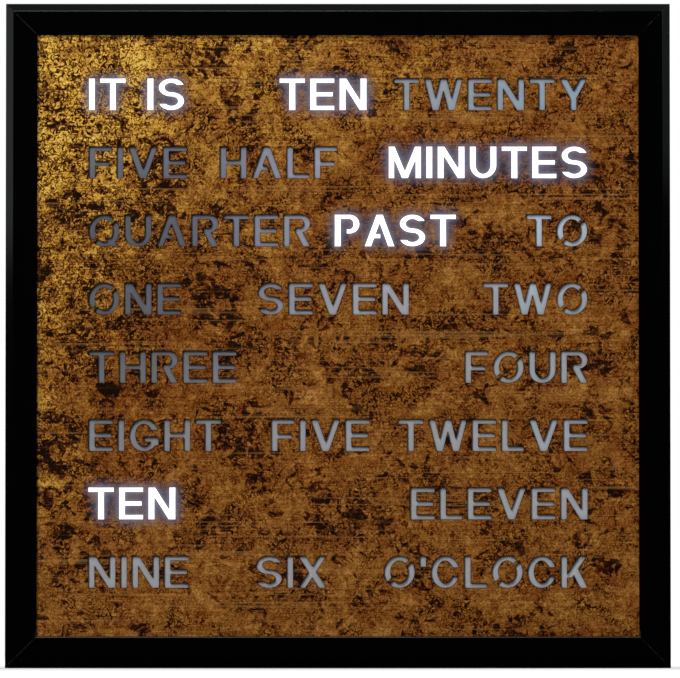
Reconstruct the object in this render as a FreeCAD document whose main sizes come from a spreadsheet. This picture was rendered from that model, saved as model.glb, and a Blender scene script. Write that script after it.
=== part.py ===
import FreeCAD, Part
import math
import os
import re

import Sketcher

# Word clock for hanging on a wall, in millimetres: +Z is up and the front faces -Y.
# The origin is the mid-point between the two keyholes, on the outer face of the rear cover.
# From the front: mitred frame, cut metal plate, diffuser, light grid, LED board, control board, rear cover.

V = FreeCAD.Vector
doc = FreeCAD.newDocument("WordClock")

DIMENSIONS = [
    ("overall_width", 300.0, "outside width of the frame"),
    ("overall_height", 300.0, "outside height of the frame"),
    ("frame_depth", 34.0, "depth of the frame, front to back"),
    ("keyhole_rise", 95.0, "height of the keyholes above the middle of the clock"),
    ("face_width", 14.3, "from the outside of the frame to its opening"),
    ("bevel_width", 3.5, "outer bevel of the frame, seen from the front"),
    ("bevel_depth", 3.0, "outer bevel of the frame, front to back"),
    ("edge_round", 0.4, "rounding of the bevel's two edges"),
    ("lip_round", 0.8, "rounding of the lip at the opening"),
    ("rail_wall", 1.8, "outer wall of the frame profile"),
    ("lip_thickness", 2.0, "thickness of the lip over the plate"),
    ("flange_reach", 8.0, "reach of the two flanges at the back, from the outside"),
    ("flange_thickness", 2.0, "thickness of each flange"),
    ("channel_width", 4.0, "gap between the two flanges"),
    ("mitre_gap", 0.1, "joint line between two frame pieces"),
    ("overcut", 1.0, "how far a cutter runs past the face that it cuts"),
    ("stack_clearance", 0.6, "gap between the flanges and the plate's edge"),
    ("plate_thickness", 1.2, "metal plate"),
    ("diffuser_thickness", 2.0, "diffuser sheet"),
    ("grid_wall", 2.0, "wall between two cells of the light grid"),
    ("grid_border", 6.0, "outer wall of the light grid"),
    ("grid_boss_radius", 3.5, "boss for a screw in the light grid"),
    ("led_board_inset", 3.0, "edge of the LED board inside the edge of the light grid"),
    ("board_thickness", 1.6, "both circuit boards"),
    ("text_inset", 37.5, "sides of the block of words, from the outside of the frame"),
    ("rows_inset", 26.8, "space above and below the rows of cells, from the outside of the frame"),
    ("text_rise", 1.2, "middle of the block of words above the middle of the clock"),
    ("cell_margin", 4.0, "space in a cell beside the outermost letters"),
    ("cap_height", 14.4, "height of the letters"),
    ("upright_stroke", 2.8, "width of an upright stroke"),
    ("level_stroke", 2.1, "width of a level stroke"),
    ("letter_gap", 2.3, "gap between two letters"),
    ("word_gap", 9.8, "gap between two words that light together"),
    ("stencil_bridge", 1.3, "strip that holds the inside of a letter"),
    ("apostrophe_height", 5.0, "height of the apostrophe"),
    ("led_length", 3.5, "LED package along X"),
    ("led_width", 2.8, "LED package along Z"),
    ("led_height", 1.9, "LED package above its board"),
    ("led_window", 1.1, "radius of the LED's window"),
    ("led_window_depth", 0.4, "depth of the LED's window"),
    ("bracket_leg", 50.0, "length of a corner bracket's leg"),
    ("bracket_width", 18.0, "width of a corner bracket's leg"),
    ("bracket_clearance", 0.1, "gap between a bracket and each flange"),
    ("bracket_side_gap", 0.3, "gap between a bracket and the frame's outer wall"),
    ("frame_screw_line", 4.9, "frame screws, from the outside of the frame"),
    ("frame_screw_near", 24.0, "first frame screw, from the corner"),
    ("frame_screw_far", 42.0, "second frame screw, from the corner"),
    ("cover_screw_line", 14.0, "cover screws, from the outside of the frame"),
    ("cover_screw_place", 34.0, "cover screws, from the corner"),
    ("screw_radius", 1.5, "screw shank"),
    ("screw_length", 5.6, "screw under the face of its head"),
    ("screw_clearance", 0.06, "radial gap round a screw's shank"),
    ("head_radius", 2.7, "countersunk screw head"),
    ("head_depth", 1.4, "depth of the countersink"),
    ("head_clearance", 0.08, "gap between a screw head and its seat"),
    ("drive_width", 0.7, "slots of the cross recess in a screw head"),
    ("drive_length", 3.2, "length of the cross recess"),
    ("drive_depth", 0.8, "depth of the cross recess"),
    ("cover_thickness", 2.0, "rear cover"),
    ("cover_clearance", 0.3, "gap between the rear cover and the flange"),
    ("post_radius", 4.0, "post that presses on the LED board"),
    ("post_inset", 20.0, "posts, from the outside of the frame"),
    ("post_spread", 55.0, "posts, from the middle of each side"),
    ("keyhole_spacing", 180.0, "distance between the keyholes"),
    ("keyhole_radius", 4.5, "round hole of a keyhole"),
    ("keyhole_slot", 4.0, "width of a keyhole's slot"),
    ("keyhole_travel", 9.0, "height of the slot's end above the round hole"),
    ("vent_length", 24.0, "length of a ventilation slot"),
    ("vent_width", 2.0, "width of a ventilation slot"),
    ("vent_pitch", 6.0, "from one ventilation slot to the next"),
    ("vent_offset", 50.0, "ventilation slots, beside the middle of the clock"),
    ("vent_rise", 66.0, "lowest ventilation slot above the middle of the clock"),
    ("bay_width", 34.0, "service bay, inside"),
    ("bay_height", 44.0, "service bay, inside"),
    ("bay_depth", 11.6, "service bay, below the cover's outer face"),
    ("bay_wall", 1.6, "walls and floor of the service bay"),
    ("bay_top", -24.0, "upper end of the service bay, from the middle of the clock"),
    ("control_width", 124.0, "control board along X"),
    ("control_bottom", -20.0, "lower edge of the control board"),
    ("control_top", 46.0, "upper edge of the control board"),
    ("control_gap", 5.2, "gap between the LED board and the control board"),
    ("boss_radius", 3.4, "boss of the cover under the control board"),
    ("boss_inset", 5.0, "bosses, from the edges of the control board"),
    ("boss_hole_spare", 0.5, "depth of a boss's hole past the end of its screw"),
    ("jack_width", 9.0, "power socket along X"),
    ("jack_height", 7.4, "power socket above its board"),
    ("jack_cover_gap", 1.0, "gap between the power socket and the rear cover"),
    ("jack_length", 13.0, "power socket along Z"),
    ("jack_edge_gap", 0.6, "power socket, from the lower edge of its board"),
    ("jack_nose_radius", 3.6, "round nose of the power socket"),
    ("jack_nose_clearance", 0.2, "gap round the nose in the bay's wall"),
    ("jack_bore_radius", 2.75, "bore for the plug"),
    ("jack_bore_depth", 9.5, "depth of the bore for the plug"),
    ("jack_pin_radius", 1.0, "centre pin of the power socket"),
    ("jack_pin_setback", 1.0, "end of the centre pin behind the mouth of the power socket"),
    ("cell_radius", 10.0, "coin cell"),
    ("cell_thickness", 3.2, "coin cell"),
    ("cell_gap", 0.2, "radial gap round the coin cell"),
    ("holder_size", 24.0, "coin cell holder, square"),
    ("holder_floor", 1.5, "floor of the coin cell holder"),
    ("holder_inset", 22.0, "middle of the coin cell holder, from the -X side of its board"),
    ("holder_z", 15.0, "middle of the coin cell holder above the middle of the clock"),
    ("window_size", 25.0, "battery window, square"),
    ("rebate_width", 2.0, "ledge round the battery window"),
    ("rebate_depth", 1.0, "depth of the ledge round the battery window"),
    ("door_clearance", 0.3, "gap round the battery door"),
    ("door_plug_depth", 1.6, "part of the battery door that enters the window"),
    ("notch_radius", 6.0, "finger notch of the battery door"),
    ("notch_depth", 0.5, "depth of the finger notch"),
    ("switch_size", 6.0, "switch body, square"),
    ("switch_height", 3.5, "switch body above its board"),
    ("switch_rise", 8.0, "switches above the middle of the clock"),
    ("switch_inset", 10.0, "last switch and button, from the +X side of its board"),
    ("switch_pitch", 13.0, "from one switch and button to the next"),
    ("stem_radius", 1.7, "switch stem"),
    ("stem_rise", 1.4, "switch stem above the switch body"),
    ("stem_seat", 1.0, "switch stem inside the switch body"),
    ("stem_clearance", 0.1, "gap round the switch stem"),
    ("button_travel", 0.5, "travel of a button"),
    ("travel_spare", 0.2, "space left under a pressed stem"),
    ("button_radius", 4.0, "button"),
    ("button_clearance", 0.3, "gap round a button in the cover"),
    ("button_stand", 0.9, "button above the cover's outer face"),
    ("button_round", 0.5, "rounding of a button's edge"),
    ("button_dish", 0.3, "depth of the dish in a button's face"),
    ("collar_radius", 5.2, "collar that keeps a button in the cover"),
    ("collar_thickness", 1.0, "collar that keeps a button in the cover"),
    ("collar_gap", 0.1, "gap between the collar and the cover"),
    ("pad_radius", 6.0, "wall pad"),
    ("pad_thickness", 3.5, "wall pad"),
    ("pad_taper", 0.6, "wall pad, smaller towards the wall"),
    ("pad_inset", 28.0, "wall pads, from the outside of the frame"),
    ("header_pitch", 2.54, "pins of the board-to-board connector"),
    ("header_height", 1.8, "pin strip on the LED board"),
    ("header_width", 2.5, "pin strip and socket strip"),
    ("header_z", 40.0, "pin strip above the middle of the clock"),
    ("pin_width", 0.6, "one pin, square"),
    ("pin_reach", 2.4, "pin inside the socket strip"),
    ("pin_clearance", 0.1, "gap round a pin in the socket strip"),
    ("lead_length", 0.9, "leads of a chip"),
    ("lead_width", 0.4, "leads of a chip"),
    ("lead_pitch", 1.27, "leads of a chip"),
    ("lead_thickness", 0.25, "leads of a chip"),
    ("chip_height", 1.6, "chips above their board"),
    ("controller_x", -4.0, "middle of the microcontroller"),
    ("controller_z", 26.0, "middle of the microcontroller above the middle of the clock"),
    ("controller_width", 12.0, "body of the microcontroller along X"),
    ("controller_height", 10.0, "body of the microcontroller along Z"),
    ("driver_inset", 11.0, "middle of the last LED driver, from the +X side of its board"),
    ("driver_pitch", 17.0, "from one LED driver to the next"),
    ("driver_z", 30.0, "LED drivers above the middle of the clock"),
    ("driver_width", 13.0, "body of an LED driver along X"),
    ("driver_height", 7.5, "body of an LED driver along Z"),
    ("timer_inset", 38.0, "middle of the clock chip, from the -X side of its board"),
    ("timer_width", 6.0, "body of the clock chip along X"),
    ("timer_height", 5.0, "body of the clock chip along Z"),
    ("timer_row_z", -9.0, "clock chip and crystal, from the middle of the clock"),
    ("regulator_inset", 42.0, "middle of the voltage regulator, from the +X side of its board"),
    ("regulator_width", 7.0, "body of the voltage regulator along X"),
    ("regulator_height", 5.0, "body of the voltage regulator along Z"),
    ("power_row_z", -10.0, "regulator and capacitors, from the middle of the clock"),
    ("capacitor_inset", 24.0, "middle of the last capacitor, from the +X side of its board"),
    ("capacitor_pitch", 8.0, "from one capacitor to the next"),
    ("capacitor_radius", 2.5, "capacitor"),
    ("capacitor_height", 5.4, "capacitor"),
    ("capacitor_base", 1.0, "base plate of a capacitor"),
    ("crystal_inset", 20.0, "middle of the clock crystal, from the -X side of its board"),
    ("crystal_height", 3.5, "clock crystal"),
    ("crystal_length", 11.0, "clock crystal"),
    ("crystal_width", 4.6, "clock crystal"),
]

sheet = doc.addObject("Spreadsheet::Sheet", "Sizes")
for line, (alias, value, meaning) in enumerate(DIMENSIONS, start=1):
    sheet.set(f"A{line}", meaning)
    sheet.set(f"B{line}", str(value))
    sheet.setAlias(f"B{line}", alias)
doc.recompute()


def size(alias):
    """The number in one cell of the sheet."""
    return float(sheet.get(alias))


def bound(text):
    """An expression written with plain names of sizes, as FreeCAD reads it."""
    return re.sub(r"[a-z][a-z_]+", lambda found: f"Sizes.{found.group(0)}", text)


# Planes along Y, as expressions: first those counted from the front, then those counted from the back.
# The light grid fills the depth that is left between the two.
FRONT = "-frame_depth"
LIP_BACK = f"({FRONT} + lip_thickness)"
PLATE_BACK = f"({LIP_BACK} + plate_thickness)"
DIFFUSER_BACK = f"({PLATE_BACK} + diffuser_thickness)"
COVER_FRONT = "(-cover_thickness)"
CONTROL_BACK = f"({COVER_FRONT} - jack_cover_gap - jack_height)"
CONTROL_FRONT = f"({CONTROL_BACK} - board_thickness)"
LED_BOARD_BACK = f"({CONTROL_FRONT} - control_gap)"
GRID_BACK = f"({LED_BOARD_BACK} - board_thickness)"
CHANNEL_BACK = "(-flange_thickness)"
CHANNEL_FRONT = "(-flange_thickness - channel_width)"
BRACKET_BACK = f"({CHANNEL_BACK} - bracket_clearance)"
BRACKET_FRONT = f"({CHANNEL_FRONT} + bracket_clearance)"

# Half sizes across the clock.
HALF_WIDTH = "(overall_width / 2)"
HALF_HEIGHT = "(overall_height / 2)"
STACK_HALF_WIDTH = f"({HALF_WIDTH} - flange_reach - stack_clearance)"
STACK_HALF_HEIGHT = f"({HALF_HEIGHT} - flange_reach - stack_clearance)"
TEXT_WIDTH = "(overall_width - 2 * text_inset)"

HOLE_RADIUS = "(screw_radius + screw_clearance)"

nodes = []


def node(item, label):
    """Names a finished piece after its node and keeps it for the export."""
    item.Label = label
    nodes.append(item)
    return item


def up(text):
    """A height above the middle of the clock, as a height in the part's frame."""
    return f"({text} - keyhole_rise)"


def either_side(half, middle="0"):
    """The two ends of a stretch that is centred on its middle."""
    return f"({middle} - {half})", f"({middle} + {half})"


def past(low, high):
    """A cutter's stretch, a little longer at both ends than what it cuts."""
    return f"({low} - overcut)", f"({high} + overcut)"


def set_base(item, x, y, z):
    for axis, text in zip("xyz", (x, y, z)):
        item.setExpression(f"Placement.Base.{axis}", bound(text))


def block(name, x, y, z):
    """A box between pairs of planes."""
    item = doc.addObject("Part::Box", name)
    for side, (low, high) in zip(("Length", "Width", "Height"), (x, y, z)):
        item.setExpression(side, bound(f"({high}) - ({low})"))
    set_base(item, x[0], y[0], z[0])
    return item


def rod(name, radius, x, y, z):
    """A round rod along Y, from y[0] to y[1]."""
    item = doc.addObject("Part::Cylinder", name)
    item.setExpression("Radius", bound(radius))
    item.setExpression("Height", bound(f"({y[1]}) - ({y[0]})"))
    item.Placement.Rotation = FreeCAD.Rotation(V(1, 0, 0), -90)
    set_base(item, x, y[0], z)
    return item


def cone(name, radii, x, y, z):
    """A round cone along Y, with its radii at y[0] and y[1]."""
    item = doc.addObject("Part::Cone", name)
    item.setExpression("Radius1", bound(radii[0]))
    item.setExpression("Radius2", bound(radii[1]))
    item.setExpression("Height", bound(f"({y[1]}) - ({y[0]})"))
    item.Placement.Rotation = FreeCAD.Rotation(V(1, 0, 0), -90)
    set_base(item, x, y[0], z)
    return item


def standing_rod(name, radius, x, y, z):
    """A round rod along Z, from z[0] to z[1]."""
    item = doc.addObject("Part::Cylinder", name)
    item.setExpression("Radius", bound(radius))
    item.setExpression("Height", bound(f"({z[1]}) - ({z[0]})"))
    set_base(item, x, y, z[0])
    return item


def union(name, pieces):
    item = doc.addObject("Part::MultiFuse", name)
    item.Shapes = pieces
    return item


def difference(name, base, tools):
    item = doc.addObject("Part::Cut", name)
    item.Base = base
    item.Tool = tools[0] if len(tools) == 1 else union(f"{name}_cuts", tools)
    return item


def group(name, pieces):
    """Separate solids that share one node."""
    item = doc.addObject("Part::Compound", name)
    item.Links = pieces
    return item


def copies(name, master, places):
    """One link to the master for each place, as a list."""
    links = []
    for x, y, z in places:
        link = doc.addObject("App::Link", f"{name}_copy")
        link.LinkedObject = master
        set_base(link, x, y, z)
        links.append(link)
    return links


def sketch_on(body, role, name):
    """A sketch on one of the body's own origin planes."""
    plane = next(item for item in body.Origin.OriginFeatures if item.Role == role)
    sketch = body.newObject("Sketcher::SketchObject", name)
    sketch.AttachmentSupport = (plane, [""])
    sketch.MapMode = "FlatFace"
    return sketch


SKETCH_START_RADIUS = 10


def add_polygon(sketch, points):
    """A closed outline whose corners are bound to expressions, drawn round a circle first."""
    first = sketch.GeometryCount
    count = len(points)
    turns = [2 * math.pi * n / count for n in range(count)]
    start = [V(math.cos(turn), math.sin(turn), 0) * SKETCH_START_RADIUS for turn in turns]
    for n in range(count):
        sketch.addGeometry(Part.LineSegment(start[n], start[(n + 1) % count]), False)
    for n in range(count):
        joined = first + (n + 1) % count
        sketch.addConstraint(Sketcher.Constraint("Coincident", first + n, 2, joined, 1))
    for n, (across, along) in enumerate(points):
        for kind, text, value in (("DistanceX", across, start[n].x), ("DistanceY", along, start[n].y)):
            index = sketch.addConstraint(Sketcher.Constraint(kind, -1, 1, first + n, 1, value))
            sketch.setExpression(f"Constraints[{index}]", bound(text))


def add_circle(sketch, across, along, radius):
    """A circle whose centre and radius are bound to expressions."""
    index = sketch.addGeometry(Part.Circle(V(1, 1, 0), V(0, 0, 1), 1), False)
    for kind, text in (("DistanceX", across), ("DistanceY", along)):
        rule = sketch.addConstraint(Sketcher.Constraint(kind, -1, 1, index, 3, 1))
        sketch.setExpression(f"Constraints[{rule}]", bound(text))
    rule = sketch.addConstraint(Sketcher.Constraint("Radius", index, 1))
    sketch.setExpression(f"Constraints[{rule}]", bound(radius))


def rectangle(x, z):
    return [(x[0], z[0]), (x[1], z[0]), (x[1], z[1]), (x[0], z[1])]


# ---------------------------------------------------------------- frame


def rail_profile():
    """The extruded profile, as (y, z): z is 0 at the outside of the frame and falls inwards."""
    inner_wall = "-rail_wall"
    return [
        ("0", "0"),
        (f"{FRONT} + bevel_depth", "0"),
        (FRONT, "-bevel_width"),
        (FRONT, "-face_width"),
        (LIP_BACK, "-face_width"),
        (LIP_BACK, f"{inner_wall} - bevel_width"),
        (f"{LIP_BACK} + bevel_depth", inner_wall),
        (f"{CHANNEL_FRONT} - flange_thickness", inner_wall),
        (f"{CHANNEL_FRONT} - flange_thickness", "-flange_reach"),
        (CHANNEL_FRONT, "-flange_reach"),
        (CHANNEL_FRONT, inner_wall),
        (CHANNEL_BACK, inner_wall),
        (CHANNEL_BACK, "-flange_reach"),
        ("0", "-flange_reach"),
    ]


def edge_names(shape, y, z):
    """The edges along X that lie at the given y and z."""
    found = []
    for number, edge in enumerate(shape.Edges, start=1):
        ends = [vertex.Point for vertex in edge.Vertexes]
        if all(abs(end.y - y) < 1e-4 and abs(end.z - z) < 1e-4 for end in ends):
            found.append(f"Edge{number}")
    return found


def frame_rail(label, half_length, turn, x, z):
    """One side of the frame: a padded profile with rounded edges, two mitres and its screw holes."""
    body = doc.addObject("PartDesign::Body", f"{label}_extrusion")
    profile = sketch_on(body, "YZ_Plane", f"{label}_profile")
    add_polygon(profile, rail_profile())
    pad = body.newObject("PartDesign::Pad", f"{label}_pad")
    pad.Profile = profile
    pad.SideType = "Symmetric"
    pad.setExpression("Length", bound(f"2 * {half_length}"))
    doc.recompute()

    front = -size("frame_depth")
    bevel_edges = edge_names(pad.Shape, front, -size("bevel_width"))
    bevel_edges += edge_names(pad.Shape, front + size("bevel_depth"), 0)
    edge_fillet = body.newObject("PartDesign::Fillet", f"{label}_edges")
    edge_fillet.Base = (pad, bevel_edges)
    edge_fillet.setExpression("Radius", bound("edge_round"))
    doc.recompute()
    lip_edges = edge_names(edge_fillet.Shape, front, -size("face_width"))
    lip_fillet = body.newObject("PartDesign::Fillet", f"{label}_lip")
    lip_fillet.Base = (edge_fillet, lip_edges)
    lip_fillet.setExpression("Radius", bound("lip_round"))
    doc.recompute()

    mitres = sketch_on(body, "XZ_Plane", f"{label}_mitres")
    end = f"({half_length} - mitre_gap / 2)"
    reach = "(face_width + lip_round)"
    for side in ("", "-"):
        add_polygon(mitres, [
            (f"{side}({end} + overcut)", "overcut"),
            (f"{side}({end} + overcut + {reach})", "overcut"),
            (f"{side}({end} + overcut + {reach})", f"-{reach}"),
            (f"{side}({end} - {reach})", f"-{reach}"),
        ])
    cut = body.newObject("PartDesign::Pocket", f"{label}_mitre_cut")
    cut.Profile = mitres
    cut.SideType = "Symmetric"
    cut.setExpression("Length", bound("2 * (frame_depth + overcut)"))

    holes = sketch_on(body, "XZ_Plane", f"{label}_holes")
    for place in ("frame_screw_near", "frame_screw_far"):
        for side in ("", "-"):
            add_circle(holes, f"{side}({half_length} - {place})", "-frame_screw_line", HOLE_RADIUS)
    drill = body.newObject("PartDesign::Pocket", f"{label}_drill")
    drill.Profile = holes
    drill.SideType = "Symmetric"
    drill.setExpression("Length", bound("2 * (flange_thickness + channel_width / 2)"))
    doc.recompute()

    sinks = []
    for place in ("frame_screw_near", "frame_screw_far"):
        for side in ("", "-"):
            x_along = f"{side}({half_length} - {place})"
            sinks.append(countersink(f"{label}_sink", x_along, "-frame_screw_line"))
    rail = difference(f"{label}_piece", body, sinks)
    rail.Placement.Rotation = FreeCAD.Rotation(V(0, 1, 0), turn)
    set_base(rail, x, "0", z)
    return node(rail, label)


def countersink(name, x, z):
    """The seat of a screw head whose face is level with y = 0, a little larger than the head."""
    seat = "(head_radius + head_clearance)"
    slope = f"({seat} - {HOLE_RADIUS}) / head_depth"
    radii = (HOLE_RADIUS, f"{seat} + {slope} * head_clearance")
    return cone(name, radii, x, ("-head_depth", "head_clearance"), z)


# ---------------------------------------------------------------- letters

# The letter unit is a share of the width of the block of words, so every row fits it.
UNIT_SHARE = 0.064
LETTER_UNIT = f"({UNIT_SHARE} * {TEXT_WIDTH})"
# Width of each letter in letter units. I and the apostrophe are one upright stroke wide.
LETTER_WIDTHS = {
    "A": 0.94, "C": 0.88, "E": 0.76, "F": 0.72, "G": 0.92, "H": 0.83, "K": 0.84, "L": 0.70,
    "M": 1.02, "N": 0.85, "O": 0.96, "P": 0.78, "Q": 0.96, "R": 0.84, "S": 0.80, "T": 0.80,
    "U": 0.84, "V": 0.92, "W": 1.20, "X": 0.88, "Y": 0.86,
}


def letter_shape(letter):
    """One letter as a cutter that stands on z = 0 with its left edge at x = 0, and runs along +Y."""
    deep = size("plate_thickness") + 2 * size("overcut")
    tall = size("cap_height")
    unit = UNIT_SHARE * (size("overall_width") - 2 * size("text_inset"))
    upright = size("upright_stroke")
    level = size("level_stroke")
    bridge = size("stencil_bridge")
    wide = LETTER_WIDTHS.get(letter, 0) * unit or upright
    middle = (tall - level) / 2

    def bar(x0, x1, z0, z1):
        return Part.makeBox(x1 - x0, deep, z1 - z0, V(x0, 0, z0))

    def slant(foot, head, thick, z0=0.0, z1=tall):
        corners = [V(foot, 0, z0), V(foot + thick, 0, z0), V(head + thick, 0, z1), V(head, 0, z1)]
        return Part.Face(Part.makePolygon(corners + corners[:1])).extrude(V(0, deep, 0))

    def oval(x, z, half_x, half_z):
        longer, shorter = max(half_x, half_z), min(half_x, half_z)
        ellipse = Part.Ellipse(V(0, 0, 0), longer, shorter)
        face = Part.Face(Part.Wire(ellipse.toShape()))
        if half_z > half_x:
            face.rotate(V(0, 0, 0), V(0, 0, 1), 90)
        face.rotate(V(0, 0, 0), V(1, 0, 0), 90)
        solid = face.extrude(V(0, deep, 0))
        solid.translate(V(x, 0, z))
        return solid

    def ring(x, z, half_x, half_z):
        return oval(x, z, half_x, half_z).cut(oval(x, z, half_x - upright, half_z - level))

    def bridged(solid, x, z, degrees):
        """Leaves a strip standing across the letter, through the given point."""
        strip = Part.makeBox(2 * tall, deep, bridge, V(-tall, 0, -bridge / 2))
        strip.rotate(V(0, 0, 0), V(0, 1, 0), -degrees)
        strip.translate(V(x, 0, z))
        return solid.cut(strip)

    def bowl_letter(foot_of_bowl):
        """The stem, top bar and bowl of P and R. The bowl's lower bar stops short of the stem."""
        half_z = (tall - foot_of_bowl) / 2
        half_x = half_z * 1.05
        centre = wide - half_x
        half = ring(centre, tall - half_z, half_x, half_z).cut(bar(-tall, centre, -1, tall + 1))
        lower = bar(0, centre, foot_of_bowl, foot_of_bowl + level)
        bowl = half.fuse([lower, bar(0, centre, tall - level, tall)])
        strip = bar(0, upright + 2 * bridge, 0, foot_of_bowl + level)
        return [bowl.cut(strip), bar(0, upright, 0, tall)]

    if letter == "I":
        parts = [bar(0, upright, 0, tall)]
    elif letter == "'":
        parts = [bar(0, upright, tall - size("apostrophe_height"), tall)]
    elif letter == "L":
        parts = [bar(0, upright, 0, tall), bar(0, wide, 0, level)]
    elif letter == "E":
        parts = [bar(0, upright, 0, tall), bar(0, wide, 0, level), bar(0, wide, tall - level, tall)]
        parts += [bar(0, wide * 0.94, middle, middle + level)]
    elif letter == "F":
        parts = [bar(0, upright, 0, tall), bar(0, wide, tall - level, tall)]
        parts += [bar(0, wide * 0.9, middle - level / 4, middle + level * 3 / 4)]
    elif letter == "H":
        parts = [bar(0, upright, 0, tall), bar(wide - upright, wide, 0, tall)]
        parts += [bar(0, wide, middle, middle + level)]
    elif letter == "T":
        parts = [bar(0, wide, tall - level, tall), bar((wide - upright) / 2, (wide + upright) / 2, 0, tall)]
    elif letter == "N":
        parts = [bar(0, upright, 0, tall), bar(wide - upright, wide, 0, tall)]
        parts += [slant(wide - upright * 1.12, 0, upright * 1.12)]
    elif letter == "M":
        parts = [bar(0, upright * 0.92, 0, tall), bar(wide - upright * 0.92, wide, 0, tall)]
        notch = (wide - upright) / 2
        parts += [slant(notch, 0, upright), slant(notch, wide - upright, upright)]
    elif letter == "K":
        arm = upright * 1.2
        parts = [bar(0, upright, 0, tall), slant(upright * 0.6, wide - arm * 1.1, arm, tall * 0.32)]
        parts += [slant(wide - arm, wide * 0.36, arm, 0, tall * 0.60)]
    elif letter in "AV":
        leg = upright * 1.06
        foot, head = (0, (wide - leg) / 2) if letter == "A" else ((wide - leg) / 2, 0)
        parts = [slant(foot, head, leg), slant(wide - leg - foot, wide - leg - head, leg)]
        if letter == "A":
            low, high = tall * 0.25, tall * 0.25 + level
            inner_right = wide - leg - (wide - leg) / 2 * high / tall
            parts += [bar(leg * 0.9, inner_right - bridge, low, high)]
    elif letter == "W":
        leg = upright
        quarter = (wide - leg) / 4
        parts = [slant(quarter, 0, leg), slant(quarter, 2 * quarter, leg)]
        parts += [slant(3 * quarter, 2 * quarter, leg), slant(3 * quarter, 4 * quarter, leg)]
    elif letter == "X":
        leg = upright * 1.15
        parts = [slant(0, wide - leg, leg), slant(wide - leg, 0, leg)]
    elif letter == "Y":
        leg = upright * 1.1
        fork = tall * 0.40
        centre = (wide - leg) / 2
        parts = [slant(centre, 0, leg, fork), slant(centre, wide - leg, leg, fork)]
        parts += [bar((wide - upright) / 2, (wide + upright) / 2, 0, fork + level)]
    elif letter == "U":
        half = wide / 2
        parts = [bar(0, upright, half, tall), bar(wide - upright, wide, half, tall)]
        parts += [ring(half, half, half, half).cut(bar(-1, wide + 1, half, tall + 1))]
    elif letter in "CG":
        half = wide / 2
        open_from, open_to = (0.36, 0.64) if letter == "C" else (0.44, 0.66)
        gap = bar(half, wide + 1, open_from * tall, open_to * tall)
        parts = [ring(half, tall / 2, half, tall / 2).cut(gap)]
        if letter == "G":
            parts += [bar(half, wide, 0.44 * tall - level, 0.44 * tall)]
            parts += [bar(wide - upright * 0.9, wide, 0.18 * tall, 0.44 * tall)]
    elif letter in "OQ":
        half = wide / 2
        parts = [bridged(ring(half, tall / 2, half, tall / 2), half, tall / 2, 45)]
        if letter == "Q":
            parts += [slant(wide - upright * 1.1, half * 1.1, upright, 0, tall * 0.26)]
    elif letter in "PR":
        foot_of_bowl = tall * (0.40 if letter == "P" else 0.44)
        parts = bowl_letter(foot_of_bowl)
        if letter == "R":
            leg = upright * 1.1
            parts += [slant(wide - leg, wide * 0.42, leg, 0, foot_of_bowl + level / 2)]
    elif letter == "S":
        half_z = (tall + level) / 4
        half_x = wide / 2
        upper = ring(half_x, tall - half_z, half_x, half_z)
        upper = upper.cut(bar(half_x, wide + 1, tall - 2 * half_z - 1, tall - half_z * 0.72))
        lower = ring(half_x, half_z, half_x, half_z)
        lower = lower.cut(bar(-1, half_x, half_z * 0.72, 2 * half_z + 1))
        parts = [upper, lower]
    solid = parts[0]
    if len(parts) > 1:
        solid = parts[0].fuse(parts[1:]).removeSplitter()
    return solid


letter_masters = {}


def letter_master(letter):
    """The cutter for one letter, made once."""
    if letter not in letter_masters:
        name = "apostrophe" if letter == "'" else f"letter_{letter}"
        master = doc.addObject("Part::Feature", name)
        master.Shape = letter_shape(letter)
        letter_masters[letter] = master
    return letter_masters[letter]


def advance(text):
    """The width of some letters with a gap after each one, as an expression."""
    caps = sum(LETTER_WIDTHS.get(letter, 0) for letter in text)
    strokes = sum(letter in "I'" for letter in text)
    spaces = text.count(" ")
    gaps = len(text) - 2 * spaces
    strokes_and_gaps = f"{strokes} * upright_stroke + {gaps} * letter_gap + {spaces} * word_gap"
    return f"({caps:.2f} * {LETTER_UNIT} + {strokes_and_gaps})"


def word_width(text):
    return f"({advance(text)} - letter_gap)"


# The words of each row. The first one starts at the left side of the block, the last one ends at the right.
ROWS = [
    ["IT IS", "TEN", "TWENTY"],
    ["FIVE", "HALF", "MINUTES"],
    ["QUARTER", "PAST", "TO"],
    ["ONE", "SEVEN", "TWO"],
    ["THREE", "FOUR"],
    ["EIGHT", "FIVE", "TWELVE"],
    ["TEN", "ELEVEN"],
    ["NINE", "SIX", "O'CLOCK"],
]
# How much of a row's free space lies before its middle word.
SPACE_BEFORE = {"TEN": 0.78, "HALF": 0.39, "PAST": 0.26, "SEVEN": 0.51, "FIVE": 0.64, "SIX": 0.54}
ROW_PITCH = f"((overall_height - 2 * rows_inset) / {len(ROWS)})"
# The words that are lit at ten past ten, by row and place in the row, with their LEDs' nodes.
LIT_WORDS = {
    (0, 0): "leds_it_is",
    (0, 1): "leds_ten_past",
    (1, 2): "leds_minutes",
    (2, 1): "leds_past",
    (6, 0): "leds_hour_ten",
}


def word_spans(row):
    """The left and right ends of each word of one row, as expressions."""
    words = ROWS[row]
    widths = [word_width(text) for text in words]
    spans = [(f"(-{TEXT_WIDTH} / 2)", f"({widths[0]} - {TEXT_WIDTH} / 2)")]
    for middle, width in zip(words[1:-1], widths[1:-1]):
        free = f"({TEXT_WIDTH} - {widths[0]} - {width} - {widths[-1]})"
        left = f"({spans[0][1]} + {SPACE_BEFORE[middle]} * {free})"
        spans.append((left, f"({left} + {width})"))
    spans.append((f"({TEXT_WIDTH} / 2 - {widths[-1]})", f"({TEXT_WIDTH} / 2)"))
    return spans


def row_middle(row):
    """The height of the middle of one row of words."""
    return up(f"text_rise + {(len(ROWS) - 1) / 2 - row} * {ROW_PITCH}")


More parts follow.
